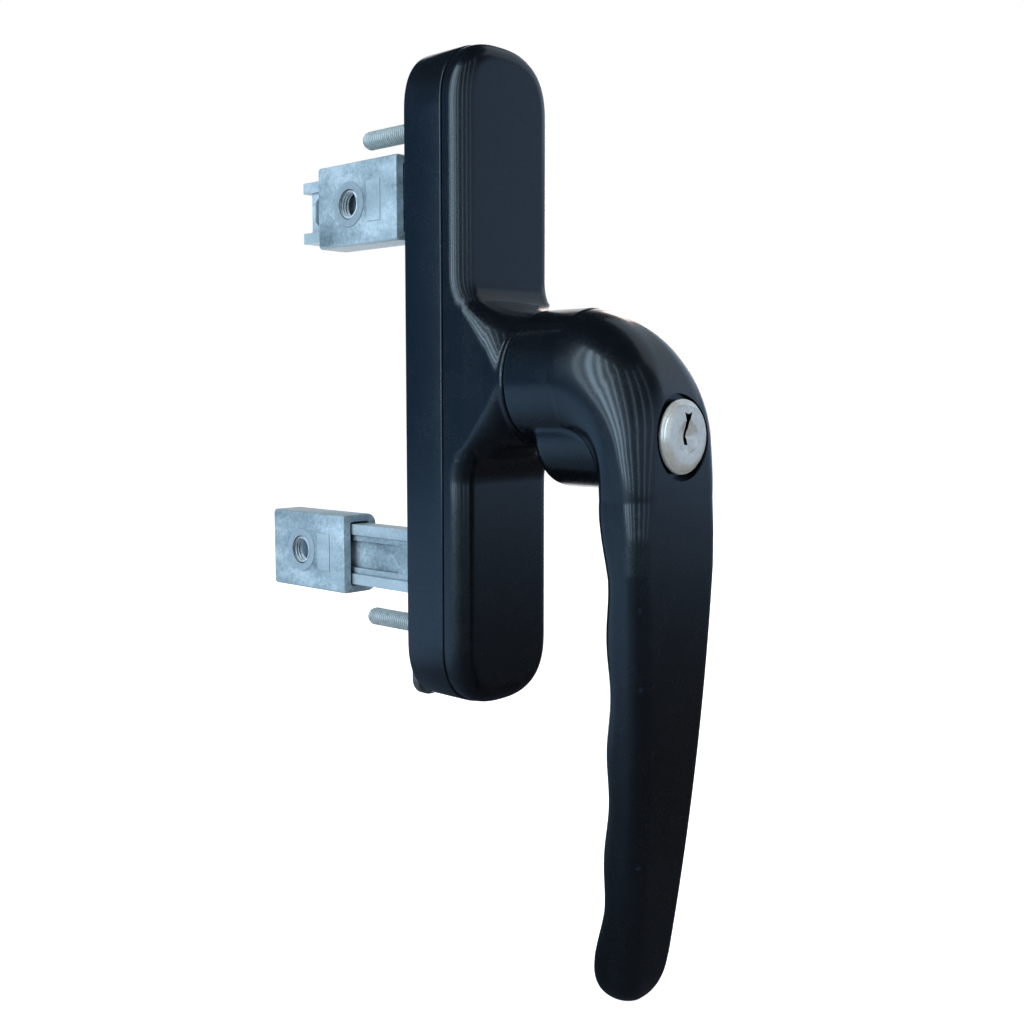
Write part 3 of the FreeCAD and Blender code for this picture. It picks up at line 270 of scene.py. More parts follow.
def blended(tree, share, one, other, way="MIX"):
    """Two colours in one."""
    settings = {"data_type": "RGBA", "blend_type": way}
    return add(tree, "ShaderNodeMix", settings, _0=share, _6=one, _7=other).outputs[2]


def span(tree, fac, low, high, start=0.0, end=1.0):
    """Maps start..end of a value to low..high."""
    made = add(tree, "ShaderNodeMapRange", Value=fac, From_Min=start, From_Max=end, To_Min=low, To_Max=high)
    return made.outputs["Result"]


def ramp(tree, fac, stops):
    """A colour ramp through (position, colour) stops."""
    made = add(tree, "ShaderNodeValToRGB", Fac=fac)
    band = made.color_ramp
    while len(band.elements) < len(stops):
        band.elements.new(0.5)
    for element, (spot, colour) in zip(band.elements, stops):
        element.position = spot
        element.color = (*colour, 1)
    return made.outputs["Color"]


# %% Helper: what the finishes share
def finish(name):
    """A new material with its tree, its Principled shader and Object coordinates."""
    made = bpy.data.materials.new(name)
    made.use_nodes = True
    tree = made.node_tree
    tree.nodes.clear()
    shader = tree.nodes.new("ShaderNodeBsdfPrincipled")
    add(tree, "ShaderNodeOutputMaterial", Surface=shader.outputs["BSDF"])
    place = tree.nodes.new("ShaderNodeTexCoord").outputs["Object"]
    return made, tree, shader, place


def noise(tree, place, scale, detail, rough=0.5):
    made = add(tree, "ShaderNodeTexNoise", Vector=place, Scale=scale, Detail=detail, Roughness=rough)
    return made.outputs["Fac"]


def stretched(tree, place, scale):
    """Object coordinates with a scale for each axis, which turns a noise into streaks."""
    return add(tree, "ShaderNodeMapping", Vector=place, Scale=scale).outputs["Vector"]


def on_edges(tree, most, start, end):
    """Grows to its most on the edges that stand out."""
    return span(tree, add(tree, "ShaderNodeNewGeometry").outputs["Pointiness"], 0, most, start, end)


def relief(tree, height, strength, distance):
    return add(tree, "ShaderNodeBump", Strength=strength, Distance=distance, Height=height).outputs["Normal"]


# %% [markdown]
# ## Blue-black paint
# The housing and the lever are stove-enamelled: nearly black, a little blue, half gloss. One flat
# colour with one roughness would look like plastic. Sprayed enamel is never a mirror, so a fine
# ripple called orange peel breaks up the reflections, and the sheen changes slowly over the
# surface. Edges are rubbed a touch lighter by hands.

# %% Paint
paint, tree, shader, place = finish("stoved_paint")
blue_black = [(0.3, (0.0018, 0.0026, 0.0038)), (0.7, (0.0028, 0.0040, 0.0058))]
tone = ramp(tree, noise(tree, place, 45, 4), blue_black)
sheen = span(tree, noise(tree, place, 160, 5, 0.6), 0.22, 0.30, 0.3, 0.7)
peel = noise(tree, place, 1500, 2, 0.4)
dust = noise(tree, place, 5200, 2, 0.6)
fed(tree, shader, Base_Color=blended(tree, on_edges(tree, 0.5, 0.53, 0.64), tone, (0.010, 0.017, 0.027, 1)),
    Roughness=sheen, Normal=relief(tree, maths(tree, "MULTIPLY_ADD", dust, 0.25, peel), 0.12, 0.00003),
    Coat_Weight=0.5, Coat_Roughness=0.1, Coat_IOR=1.5, IOR=1.5)
print("finish:", paint.name)

# %% [markdown]
# ## Die-cast zinc
# The arms, blocks and chassis come straight from the die: a pale blue-grey skin with cold-flow
# marks, cloudy patches and small pits. Pure metal would mirror too clearly, because a cast skin
# scatters light widely, so it is mixed half with a matt surface. Recesses are darkened by ambient
# occlusion, which is painted shade, and edges that stand out are lightened, which is a painted
# highlight. The chassis, which sits in shadow behind the housing, gets a darker grey copy of the
# zinc, which is painted shade too. A machined face of the same metal shows fine turning marks.

# %% Cast zinc and machined zinc
def cast(name, stops, metallic):
    """stops: four colours, from the darkest patch to the palest."""
    made, tree, shader, place = finish(name)
    cloud = noise(tree, stretched(tree, place, (1.0, 0.5, 1.0)), 120, 6, 0.6)
    patches = maths(tree, "MULTIPLY_ADD", noise(tree, place, 1100, 4, 0.7), 0.6, cloud)
    tone = ramp(tree, patches, list(zip((0.58, 0.72, 0.84, 0.98), stops)))
    # painted highlight: edges that stand out are lightened toward the palest stop
    tone = blended(tree, on_edges(tree, 0.6, 0.53, 0.62), tone, (*stops[-1], 1))
    # painted shade: ambient occlusion darkens recesses and corners
    corner = add(tree, "ShaderNodeAmbientOcclusion", Distance=0.0025).outputs["AO"]
    tone = blended(tree, 1.0, tone, span(tree, corner, 0.15, 1.1, 0.2, 0.7), "MULTIPLY")
    pits = add(tree, "ShaderNodeTexVoronoi", Vector=place, Scale=620.0).outputs["Distance"]
    rough_skin = relief(tree, maths(tree, "MULTIPLY_ADD", pits, 0.12, patches), 0.7, 0.00012)
    fed(tree, shader, Base_Color=tone, Metallic=metallic, Roughness=span(tree, cloud, 0.34, 0.56, 0.3, 0.7),
        Normal=rough_skin)
    return made


blue_greys = [(0.15, 0.20, 0.225), (0.24, 0.31, 0.34), (0.31, 0.39, 0.43), (0.46, 0.55, 0.59)]
zinc = cast("cast_zinc", blue_greys, 0.4)
# a darker grey copy of the zinc for the chassis, which sits in shadow: painted shade
shadow_dark_zinc = cast("shadow_dark_zinc", [(grey, grey, grey) for grey in (0.05, 0.09, 0.13, 0.2)], 0.6)

machined, tree, shader, place = finish("machined_zinc")
fine = noise(tree, stretched(tree, place, (1, 6, 1)), 900, 4)
fed(tree, shader, Base_Color=ramp(tree, fine, [(0.35, (0.33, 0.41, 0.45)), (0.7, (0.45, 0.53, 0.57))]),
    Metallic=0.5, Roughness=span(tree, fine, 0.24, 0.4), Normal=relief(tree, fine, 0.35, 0.00003))
print("finishes:", zinc.name, shadow_dark_zinc.name, machined.name)

# %% [markdown]
# ## Plated steel, nickel, nylon and rubber
# The screws are bright zinc-plated steel. The lock is satin nickel: brushed, warm-white and much
# smoother than the castings. Inside are a nylon bush and a rubber joint frame, whose near-black
# rubber also stands in for the shade in the gap between base and cover, so it is partly painted
# shade. Each kind has one function, because its finishes differ only in colour, roughness and
# grain. In a thread the grooves get painted shade from an attribute that the thread itself carries,
# which stays sharp where shading by occlusion would blur. The keyway's walls are near black, which
# is painted shade for the deep slot.

# %% Plated steel and nickel
def plated(name, dark, light, roughness, scale, metallic=1.0, ribbed=False):
    """Fine grain and scratches. A ribbed finish gets painted shade in the grooves, where the thread's ridge
    attribute is low.
    """
    made, tree, shader, place = finish(name)
    grain = noise(tree, place, scale, 5, 0.6)
    tone = ramp(tree, grain, [(0.3, dark), (0.7, light)])
    if ribbed:
        ridge = add(tree, "ShaderNodeAttribute", {"attribute_name": "ridge"}).outputs["Fac"]
        # painted shade: the thread's grooves are darkened where the ridge attribute is low
        groove_shade = ramp(tree, ridge, [(0.1, (0.06, 0.07, 0.07)), (0.6, (0.9, 0.9, 0.9))])
        tone = blended(tree, 1.0, tone, groove_shade, "MULTIPLY")
    scratch = noise(tree, stretched(tree, place, (1, 1, 7)), scale * 3, 3)
    fed(tree, shader, Base_Color=tone, Metallic=metallic, Normal=relief(tree, scratch, 0.06, 0.00002),
        Roughness=span(tree, grain, roughness[0], roughness[1], 0.3, 0.7))
    return made


steel = plated("plated_steel", (0.42, 0.47, 0.48), (0.60, 0.66, 0.67), (0.28, 0.4), 700, 0.6)
# the ribbed finishes carry painted shade in their thread grooves
thread_steel = plated("thread_steel", (0.62, 0.70, 0.70), (0.80, 0.88, 0.88), (0.25, 0.35), 700, 0.5, True)
tapped_zinc = plated("tapped_zinc", (0.64, 0.72, 0.76), (0.82, 0.90, 0.94), (0.25, 0.35), 700, 0.4, True)
nickel = plated("satin_nickel", (0.70, 0.66, 0.60), (0.84, 0.80, 0.74), (0.14, 0.22), 900, 0.6)
# near-black walls for the keyway: painted shade for the deep slot
keyway_shade = plated("keyway_painted_shade", (0.03, 0.03, 0.03), (0.06, 0.06, 0.06), (0.5, 0.7), 700)


# %% Nylon and rubber
def moulded(name, dark, light, roughness):
    made, tree, shader, place = finish(name)
    cloud = noise(tree, place, 260, 4)
    fed(tree, shader, Base_Color=ramp(tree, cloud, [(0.3, dark), (0.7, light)]),
        Roughness=span(tree, cloud, roughness - 0.06, roughness + 0.08),
        Normal=relief(tree, noise(tree, place, 2200, 3), 0.3, 0.00003))
    return made


nylon = moulded("white_nylon", (0.68, 0.68, 0.65), (0.76, 0.76, 0.73), 0.45)
# near-black rubber for the joint frame; it also stands in for the shade in the gap between base and cover, so
# it is partly painted shade
gap_shade_rubber = moulded("joint_rubber_gap_shade", (0.004, 0.004, 0.005), (0.009, 0.009, 0.011), 0.6)
print("finishes:", steel.name, nickel.name, keyway_shade.name, nylon.name, gap_shade_rubber.name)

# %% [markdown]
# ## Base shell
# The rear half of the housing is a thin tray with parallel walls. Cutting a hollow out of a block
# would do, but the wall is a ring of one constant section. So a profile swept round the stadium
# gives it, with a soft rim front and rear where the paint gathers.

# %% Base shell
shell = swept("base_shell_skin", [
    (0, 0), (0, 12.95), (1.1, 12.95), (1.1, 12.5), (2.4, 12.5),
    (2.4, 4.4), (3.5, 4.4), (3.5, 3.0), (2.4, 3.0), (2.4, 0),
], soft=0.3)
shell.data.materials.append(paint)
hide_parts("base_shell")
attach(shell, "housing")
print("base shell:", triangles(shell), "triangles")

# %% [markdown]
# ## Voxel skins for blended castings
# The front cover and the lever are castings whose forms melt into each other. Two ways would do:
# model the blends by hand, or join rough solids and let a fine voxel remesh find their common
# skin. The voxel way is used. Its points are then evened out in rounds: each point moves halfway
# to the mean of its neighbours, and is pulled back to the true surface. Where two forms meet the
# pull is weaker, and the evening makes the fillet that the die has there.

# %% Helper: evening out a mesh while a surface holds it
def voxel_union(name, solids, voxel):
    piece = merged(name, solids)
    step = piece.modifiers.new("voxels", "REMESH")
    step.mode, step.voxel_size, step.adaptivity = "VOXEL", voxel * MM, 0.0
    return baked(piece)


def surface_of(piece):
    """A tree that finds the nearest point of a mesh."""
    corners = [v.co for v in piece.data.vertices]
    return BVHTree.FromPolygons(corners, [f.vertices for f in piece.data.polygons])


def relaxed(piece, pull, rounds):
    """pull takes all points in metres and returns them on the true surface."""
    count = len(piece.data.vertices)
    points = np.empty(count * 3)
    piece.data.vertices.foreach_get("co", points)
    points = points.reshape(-1, 3)
    pairs = np.empty(len(piece.data.edges) * 2, int)
    piece.data.edges.foreach_get("vertices", pairs)
    first, second = pairs.reshape(-1, 2).T
    links = np.bincount(pairs, minlength=count)[:, None]
    points = pull(points)
    for _ in range(rounds):
        mean = np.zeros_like(points)
        np.add.at(mean, first, points[second])
        np.add.at(mean, second, points[first])
        points = pull((points + mean / links) / 2)
    piece.data.vertices.foreach_set("co", points.ravel())
    piece.data.update()


# %% [markdown]
# ## Front cover
# The cover is a shallow pressing with a full-round shoulder. Its neck flares out of the front face,
# and the flat flanks of the housing cut the flare, so the shoulder runs on round the cut and up the
# neck. A low step crosses the front at the foot of the flare. Booleans and bevels leave ragged
# edges where the cut runs out, so the shape is written as a distance instead: flank and flare are
# two distances, and a rounded corner joins them, sharper as they turn parallel.

# %% Front cover: sizes
COVER_INSET, SHOULDER, NECK_ROUND = 0.3, 4.8, 0.6
FLANK = HALF_WIDTH - COVER_INSET
NECK_RADIUS, FLARE_BEND, FLARE_TOP, FLARE_TURN = 16.4, 15.4, 31.1, 11.0
STEP_FOOT, STEP_RUN, STEP_RISE, STEP_BLEND = 25.5, 5.5, 1.5, 0.8
DRAFT, DRAFT_RUN = 0.3, 7.0
EDGE_GROWTH, EDGE_START, EDGE_RUN = 3.2, 20.5, 6.0


def share_of(distance, run):
    return np.clip(distance / run, 0, 1)


def squareness(depth):
    """The power of the flare's section: 2 is a circle, at the neck's end, and 6 is nearly a square."""
    return 2 + 4 * share_of(FLARE_TOP - depth, FLARE_TURN)


# %% Front cover: rough solids
def shoulder(steps=40):
    """The slab's edge as (inset, depth), from its rear rim over the shoulder to the flat front."""
    middle = COVER_FRONT - SHOULDER
    line = [(COVER_INSET, 11.0), (COVER_INSET, COVER_BACK), (COVER_INSET, middle)]
    for s in range(1, steps + 1):
        a = s / steps * math.pi / 2
        line.append((COVER_INSET + SHOULDER * (1 - math.cos(a)), middle + SHOULDER * math.sin(a)))
    return line


def flare_size(depth):
    """Half height of the flare, and of the low step below it."""
    if depth < COVER_FRONT + STEP_RISE:
        return STEP_FOOT - STEP_RUN * math.sqrt(max(0.0, depth - COVER_FRONT) / STEP_RISE)
    lean = max(0.0, FLARE_TOP - depth) / FLARE_BEND
    return NECK_RADIUS + FLARE_BEND * (1 - math.sqrt(1 - lean ** 2))


neck_rings = []
for depth in np.linspace(14.2, NECK_END, 80):
    size, power = flare_size(depth), 2 / squareness(depth)
    ring = []
    for across, height in circle(1.0, 200):
        across = size * powered(across, power)
        ring.append(placed(max(-FLANK, min(FLANK, across)), depth, size * powered(height, power)))
    neck_rings.append(ring)
slab = skin("cover_slab", [level(stadium(i, arc=150), d) for i, d in shoulder()])
slab_surface = surface_of(slab)
cover = voxel_union("front_cover_skin", [slab, skin("cover_neck", neck_rings)], 0.42)
print("cover voxels:", triangles(cover), "triangles")


# %% Front cover: the distance to its surface
def rounded_corner(one, other, radius, along=0.0):
    """The common part of two solids, its edge rounded as by a ball. along is their normals' product."""
    a, b = one + radius, other + radius
    square = np.maximum(a * a + b * b - 2 * a * b * along, 1e-9)
    ball = np.sqrt(square / np.maximum(1 - along * along, 1e-3)) - radius
    at_edge = (a > b * along) & (b > a * along) & (a > 0) & (b > 0)
    return np.where(at_edge, ball, np.maximum(one, other))


def flare_distance(p):
    """From the front face with its low step and from the flare, in mm. p holds x, depth, z."""
    across, depth, height = np.abs(p.T) + 1e-6
    power = squareness(depth)
    size = (across ** power + height ** power) ** (1 / power)
    inward = np.clip(NECK_RADIUS + FLARE_BEND - size, 0, None)
    bend = FLARE_BEND - np.hypot(inward, FLARE_TOP - depth)
    flare = np.where(depth >= FLARE_TOP, size - NECK_RADIUS, bend)
    up = share_of(STEP_FOOT - height, STEP_RUN)
    lean = up * 2 * STEP_RISE / STEP_RUN
    step = (depth - COVER_FRONT - STEP_RISE * up ** 2) / np.sqrt(1 + lean ** 2)
    near = np.clip(STEP_BLEND - np.abs(flare - step), 0, None)
    return np.minimum(flare, step) - near ** 2 / (4 * STEP_BLEND)


def slope(field, p, reach=0.02):
    out = np.empty_like(p)
    for axis in range(3):
        shift = np.zeros(3)
        shift[axis] = reach
        out[:, axis] = (field(p + shift) - field(p - shift)) / (2 * reach)
    return out


def cover_distance(p):
    """From the flare between its flanks, in mm, with the edge between them rounded."""
    across, depth = p[:, 0], p[:, 1]
    turn = slope(flare_distance, p)
    steep = np.maximum(np.linalg.norm(turn, axis=1), 0.5)
    flare, along = flare_distance(p) / steep, np.sign(across) * turn[:, 0] / steep
    flank = np.abs(across) - FLANK + DRAFT * share_of(depth - COVER_FRONT, DRAFT_RUN)
    edge = SHOULDER + EDGE_GROWTH * share_of(depth - EDGE_START, EDGE_RUN)
    body = rounded_corner(flank, flare, edge, np.clip(along, -0.2, 0.995))
    return rounded_corner(body, depth - NECK_END, NECK_ROUND)


# %% Front cover: evening out
def to_cover(points):
    """Near the neck by Newton steps along the slope, elsewhere the nearest point of the slab."""
    points = points.copy()
    p = points * (1000, -1000, 1000)
    near = (np.abs(p[:, 2]) < 64) & (p[:, 1] > 12.5)
    for _ in range(4):
        q = p[near]
        turn = slope(cover_distance, q)
        far = cover_distance(q) / np.maximum(np.sum(turn * turn, axis=1), 0.25)
        p[near] = q - np.clip(far, -0.6, 0.6)[:, None] * turn
    points[near] = p[near] * (MM, -MM, MM)
    for i in np.where(~near)[0]:
        points[i] = slab_surface.find_nearest(points[i])[0]
    return points


relaxed(cover, to_cover, 5)
print("cover skin:", triangles(cover), "triangles")

# %% [markdown]
# The inside of the cover could be a second wall, as on the base shell. It is hollowed with exact
# booleans instead, which keep the rear rim crisp on the voxel skin. The tools are the space behind
# the cover, the hollow itself, the bore for the bearing and the seat of the strike ring.

# %% Front cover: hollow, bore and bosses
joined_by(cover, prism("cover_cut", stadium(-3.0), 9.0, COVER_BACK - 0.4))
joined_by(cover, prism("cover_step", stadium(1.2), 9.0, COVER_BACK))
joined_by(cover, prism("cover_hollow", stadium(2.9), 13.0, 17.1))
bore_line = [(13.0, 0), (13.0, 9.95), (30.0, 9.95), (29.65, 15.4), (33.5, 15.4), (33.5, 0)]
joined_by(cover, turned("cover_bore", bore_line))
inner_pieces = [swept("cover_rim", [(2.5, 11.0), (2.5, 17.4), (4.0, 17.4), (4.0, 11.0)], soft=0.15)]
for height in (75.7, -75.7, 17.63, -17.63):
    boss_section = [(11.65, 1.5), (11.65, 3.0), (17.5, 3.0), (17.5, 1.5)]
    inner_pieces.append(turned("cover_boss", boss_section, height, segments=40, soft=0.12, loop=True))
cover = merged("front_cover_skin", [cover] + inner_pieces)
shaded(cover, 40)
cover.data.materials.clear()
cover.data.materials.append(paint)
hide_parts("front_cover")
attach(cover, "housing")
print("front cover:", triangles(cover), "triangles")

# %% [markdown]
# ## Lever
# The lever is one casting: a round neck, an elbow and a flat tapering grip with shallow finger
# waves on its back. Sculpting would be free but uneven, so it is a skin through rings that follow
# rules. Each ring is a rounded rectangle. Round the elbow the rings fan out from the centre of its
# inner curve, so the outer side sweeps a wider arc than the inner one.

# %% Lever: sizes
LEVER_START, LEVER_NECK, LEVER_FRONT, LEVER_TIP, TIP_START = 33.15, 16.9, 73.0, 147.5, 136.5
ELBOW_OUTER, ELBOW_INNER, ELBOW_START, ELBOW_DROP = 24.2, 10.0, 44.0, 13.0
ELBOW_THICK = ELBOW_OUTER - ELBOW_INNER
GRIP_WIDTH, GRIP_THICK, GRIP_CORNER, CROWN, TAPER = 31.2, 11.6, 5.0, 0.25, 0.145
BOW_START, BOW_RADIUS, TAPER_START = 40.0, 728.0, 43.0
WAVE, WAVE_LENGTH, WAVE_START = 0.45, 26.0, 32.5
TIP_POWER, TIP_SIDE, TIP_EDGE = 2.6, 7.6, 5.0
LOCK_DROP, LOCK_FACE = 12.8, 74.2
QUARTERS = ((1, 1, 0), (-1, 1, 90), (-1, -1, 180), (1, -1, 270))
pivot_depth, pivot_drop = LEVER_FRONT - ELBOW_OUTER, LEVER_NECK + ELBOW_INNER


# %% Lever: rounded rectangular rings
def rounded_rectangle(half_wide, half_deep, corner, crown, around=36):
    """Points of a rounded rectangle. With a crown the front side swells in its middle."""
    corner = min(corner, half_wide, half_deep)
    points = []
    for sx, sy, start in QUARTERS:
        cx, cy = sx * (half_wide - corner), sy * (half_deep - corner)
        for s in range(around):
            a = math.radians(start + 90 * s / (around - 1))
            points.append([cx + corner * math.cos(a), cy + corner * math.sin(a)])
        # points along the side that follows the corner, which is a quarter turn further
        begin, a = np.array(points[-1]), math.radians(start + 90)
        end = np.array([-sy * (half_wide - corner), sx * (half_deep - corner)])
        end = end + corner * np.array([math.cos(a), math.sin(a)])
        for t in np.linspace(0, 1, 12)[1:-1]:
            points.append(list(begin + (end - begin) * t))
    points = np.array(points)
    sink = crown * (points[:, 0] / half_wide) ** 2
    points[:, 1] -= np.where(points[:, 1] > 0, sink, 0.0)
    return points


def lever_ring(depth, height, tilt, half_wide, half_deep, corner, crown=0.0):
    """A ring with its centre at a depth and height; tilt 0 lies flat, as across the grip."""
    a = math.radians(tilt)
    ring = []
    for x, forward in rounded_rectangle(half_wide, half_deep, corner, crown):
        ring.append(placed(x, depth + forward * math.cos(a), height + forward * math.sin(a)))
    return ring


# %% Lever: how far the elbow and the grip reach
def elbow_reach(theta):
    """From the centre of the inner curve to the outer one, which is a quarter of an ellipse."""
    low, high = ELBOW_INNER, 80.0
    for _ in range(40):
        middle = (low + high) / 2
        depth, height = pivot_depth + middle * math.sin(theta), middle * math.cos(theta) - pivot_drop
        u = (depth - ELBOW_START) / (LEVER_FRONT - ELBOW_START)
        v = (height + ELBOW_DROP) / (LEVER_NECK + ELBOW_DROP)
        out = math.hypot(max(u, 0), max(v, 0)) > 1
        low, high = (low, middle) if out else (middle, high)
    return low


def grip_section(reach):
    """Depth of the front, thickness and half width of the grip at a distance below the spindle."""
    bow = max(0.0, reach - BOW_START) ** 2 / (2 * BOW_RADIUS)
    wave = WAVE * math.cos((reach - WAVE_START) / WAVE_LENGTH * 2 * math.pi)
    share = reach / LEVER_TIP
    deep = GRIP_THICK + wave + max(0.0, share - 0.84) * 13 + max(0.0, 0.3 - share) * 18
    half = (GRIP_WIDTH - TAPER * max(0.0, reach - TAPER_START)) / 2
    return LEVER_FRONT - bow, deep, half


# %% Lever: neck, elbow, grip and tip
lever_rings = []
for depth in np.linspace(LEVER_START, pivot_depth, 26, endpoint=False):
    size = LEVER_NECK - NECK_ROUND * max(0.0, 1 - (depth - LEVER_START) / NECK_ROUND) ** 2
    lever_rings.append(lever_ring(depth, 0.0, 90, size, size, size))
for share in np.linspace(0, 1, 80):
    theta = math.radians(90 * share)
    reach = elbow_reach(theta)
    middle, half_deep = (reach + ELBOW_INNER) / 2, (reach - ELBOW_INNER) / 2
    half_wide = LEVER_NECK + (GRIP_WIDTH / 2 - LEVER_NECK) * share
    early = share ** 1.6
    corner = min(LEVER_NECK + (GRIP_CORNER - LEVER_NECK) * early * (2 - early), 0.99 * half_deep)
    depth, height = pivot_depth + middle * math.sin(theta), -pivot_drop + middle * math.cos(theta)
    tilt = 90 - math.degrees(theta)
    lever_rings.append(lever_ring(depth, height, tilt, half_wide, half_deep, corner, CROWN * share ** 2))
for reach in np.linspace(pivot_drop, TIP_START, 130)[1:]:
    front, deep, half = grip_section(reach)
    settle = min(1.0, (reach - pivot_drop) / 8.0)
    deep = ELBOW_THICK + (deep - ELBOW_THICK) * settle * settle * (3 - 2 * settle)
    corner = min(GRIP_CORNER - 0.9 * settle, 0.42 * deep)
    lever_rings.append(lever_ring(front - deep / 2, -reach, 0, half, deep / 2, corner, CROWN))
for t in np.linspace(0, 1, 22)[1:]:
    run = math.sin(t * math.pi / 2)
    reach = TIP_START + (LEVER_TIP - TIP_START) * run
    front, deep, half = grip_section(reach)
    bulge = (1 - run ** TIP_POWER) ** (1 / TIP_POWER)
    width, thick = half - TIP_SIDE + TIP_SIDE * bulge, deep / 2 - TIP_EDGE + TIP_EDGE * bulge
    corner = min(4.3, 0.95 * thick)
    lever_rings.append(lever_ring(front - deep / 2, -reach, 0, width, thick, corner, CROWN * bulge))
lever_form = skin("lever_form", lever_rings)
print("lever rings:", len(lever_rings), "of", len(lever_rings[0]), "points")

# %% Lever: boss behind the elbow and the common skin
BOSS_BACK, BOSS_RADIUS, BOSS_ROUND = 37.5, 12.6, 4.0
boss_line = [(BOSS_BACK, 0.0)]
for s in range(13):
    a = math.radians(90 * s / 12)
    depth = BOSS_BACK + BOSS_ROUND - BOSS_ROUND * math.cos(a)
    boss_line.append((depth, BOSS_RADIUS - BOSS_ROUND + BOSS_ROUND * math.sin(a)))
boss_line += [(50.0, BOSS_RADIUS), (56.0, BOSS_RADIUS), (61.4, BOSS_RADIUS), (61.4, 0.0)]
boss = turned("lever_boss", boss_line, -LOCK_DROP, segments=120)
surfaces = [surface_of(lever_form), surface_of(boss)]


def to_lever(points, fillet=3.0):
    """Pulled fully to one form, and less where both forms are near."""
    out = points.copy()
    for i, point in enumerate(points):
        near, other = sorted((form.find_nearest(point) for form in surfaces), key=lambda hit: hit[3])
        share = min(1.0, max(0.0, (other[3] - near[3]) / MM / fillet))
        out[i] = point + share * (np.array(near[0]) - point)
    return out


lever = voxel_union("lever_skin", [lever_form, boss], 0.46)
relaxed(lever, to_lever, 6)
print("lever skin:", triangles(lever), "triangles")

# %% [markdown]
# The lock's recess could be pressed into the rings, but a boolean keeps it round. Its rim is rolled
# outward, because paint never holds a sharp corner. One turned tool holds the recess, the barrel's
# bore and the pin's bore, which share an axis.

# %% Lever: recess, bores and spigot
recess = [(32.0, 0), (32.0, 2.05), (44.5, 2.05), (44.5, 7.25), (72.2, 7.25), (72.2, 8.2)]
recess += [(70.6, 8.4), (70.6, 9.7)]
recess += [(72.2 + 1.6 * t, 9.7 + 0.75 * t * t) for t in np.linspace(0, 1, 7)]
recess += [(78.0, 10.6), (78.0, 0)]
joined_by(lever, turned("lock_recess_tool", recess, -LOCK_DROP, segments=128))
spigot = [(12.95, 0), (12.95, 7.6), (13.25, 7.9), (13.9, 7.9), (13.9, 7.1)]
spigot += [(15.0, 7.1), (15.0, 7.9), (34.5, 7.9), (34.5, 0)]
joined_by(lever, turned("spigot", spigot, segments=72), "UNION")
joined_by(lever, prism("square_tool", rectangle(3.55, 3.55), 12.0, 50.5))
shaded(lever, 42)
lever.data.materials.clear()
lever.data.materials.append(paint)
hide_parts("lever")
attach(lever, "handle")
print("lever:", triangles(lever), "triangles")

# %% [markdown]
# ## Lock
# A small cylinder lock fills the recess. Its barrel ends in a flange, and the key plug's face
# stands in front of it with a soft bevel, a conical dimple that guides the key, and the keyway.
# Both are turned on a lathe in a real lock, so both are turned here. The keyway could be a dark
# picture on the face, but a real cut shows its depth from every side. The cut's walls are near
# black, which is painted shade for the deep slot.

# %% Lock barrel
barrel = turned("lock_barrel_skin", [
    (47.2, 5.45), (47.2, 7.2), (72.2, 7.2), (72.2, 8.45),
    (72.75, 8.45), (73.15, 8.25), (73.3, 7.95), (73.3, 5.45),
], -LOCK_DROP, segments=128, soft=0.1, loop=True)
barrel.data.materials.append(nickel)
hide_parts("lock_barrel")
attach(barrel, "handle")

# %% Key plug
plug_line = [(38.35, 0), (38.35, 1.1), (45.5, 1.1), (45.5, 5.4), (46.25, 5.4), (46.25, 4.6)]
plug_line += [(47.2, 4.6), (47.2, 5.4), (73.0, 5.4), (73.0, 7.9)]
for a in reversed(np.linspace(0, math.pi / 2, 16)):
    plug_line.append((LOCK_FACE - 1.0 * (1 - math.cos(a)) ** 1.2, 5.7 + 2.2 * math.sin(a)))
plug_line += [(LOCK_FACE, 3.75), (LOCK_FACE - 0.15, 3.5), (73.0, 0.0)]
plug = turned("key_plug_skin", plug_line, -LOCK_DROP, segments=128, soft=0.06)

# a tall slot with a V notch at its top and a small step on one side
slot_line = [(-0.6, -1.8), (0.6, -1.8), (0.6, -0.4), (0.3, 0.0), (0.3, 1.4), (0.6, 1.8)]
slot_line += [(0.6, 3.4), (1.4, 5.5), (0.0, 5.1), (-1.4, 5.5), (-0.6, 3.4)]
keyway = prism("keyway_tool", slot_line, 54.2, 76.0, -LOCK_DROP)
for part in (plug, keyway):
    part.data.materials.append(nickel)
    part.data.materials.append(keyway_shade)
# the keyway's walls take the near-black finish, which is painted shade
for face in keyway.data.polygons:
    face.material_index = 1
joined_by(plug, keyway)
shaded(plug, 30)
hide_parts("key_plug")
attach(plug, "plug")
print("lock:", triangles(barrel), "+", triangles(plug), "triangles")

# %% [markdown]
# ## Threads
# A thread is a ridge that follows a helix. A Screw modifier could turn a tooth, but its ends would
# stop dead. In Geometry Nodes a flat grid is wrapped round an axis, and its radius follows a wave
# whose phase turns with the angle and fades at both ends. The same tree makes the screws' outer
# threads and, with its faces flipped, the tapped holes in the blocks.

# %% The thread tree
THREAD_INPUTS = [
    ("Root", "Float", 0.002), ("Crest", "Float", 0.0025), ("Pitch", "Float", 0.0008),
    ("Length", "Float", 0.02), ("Fade", "Float", 0.0008),
    ("Around", "Int", 48), ("Along", "Int", 200), ("Inside", "Bool", False),
]
ROOT_FLAT, RIDGE_GAIN = 0.12, 1.3


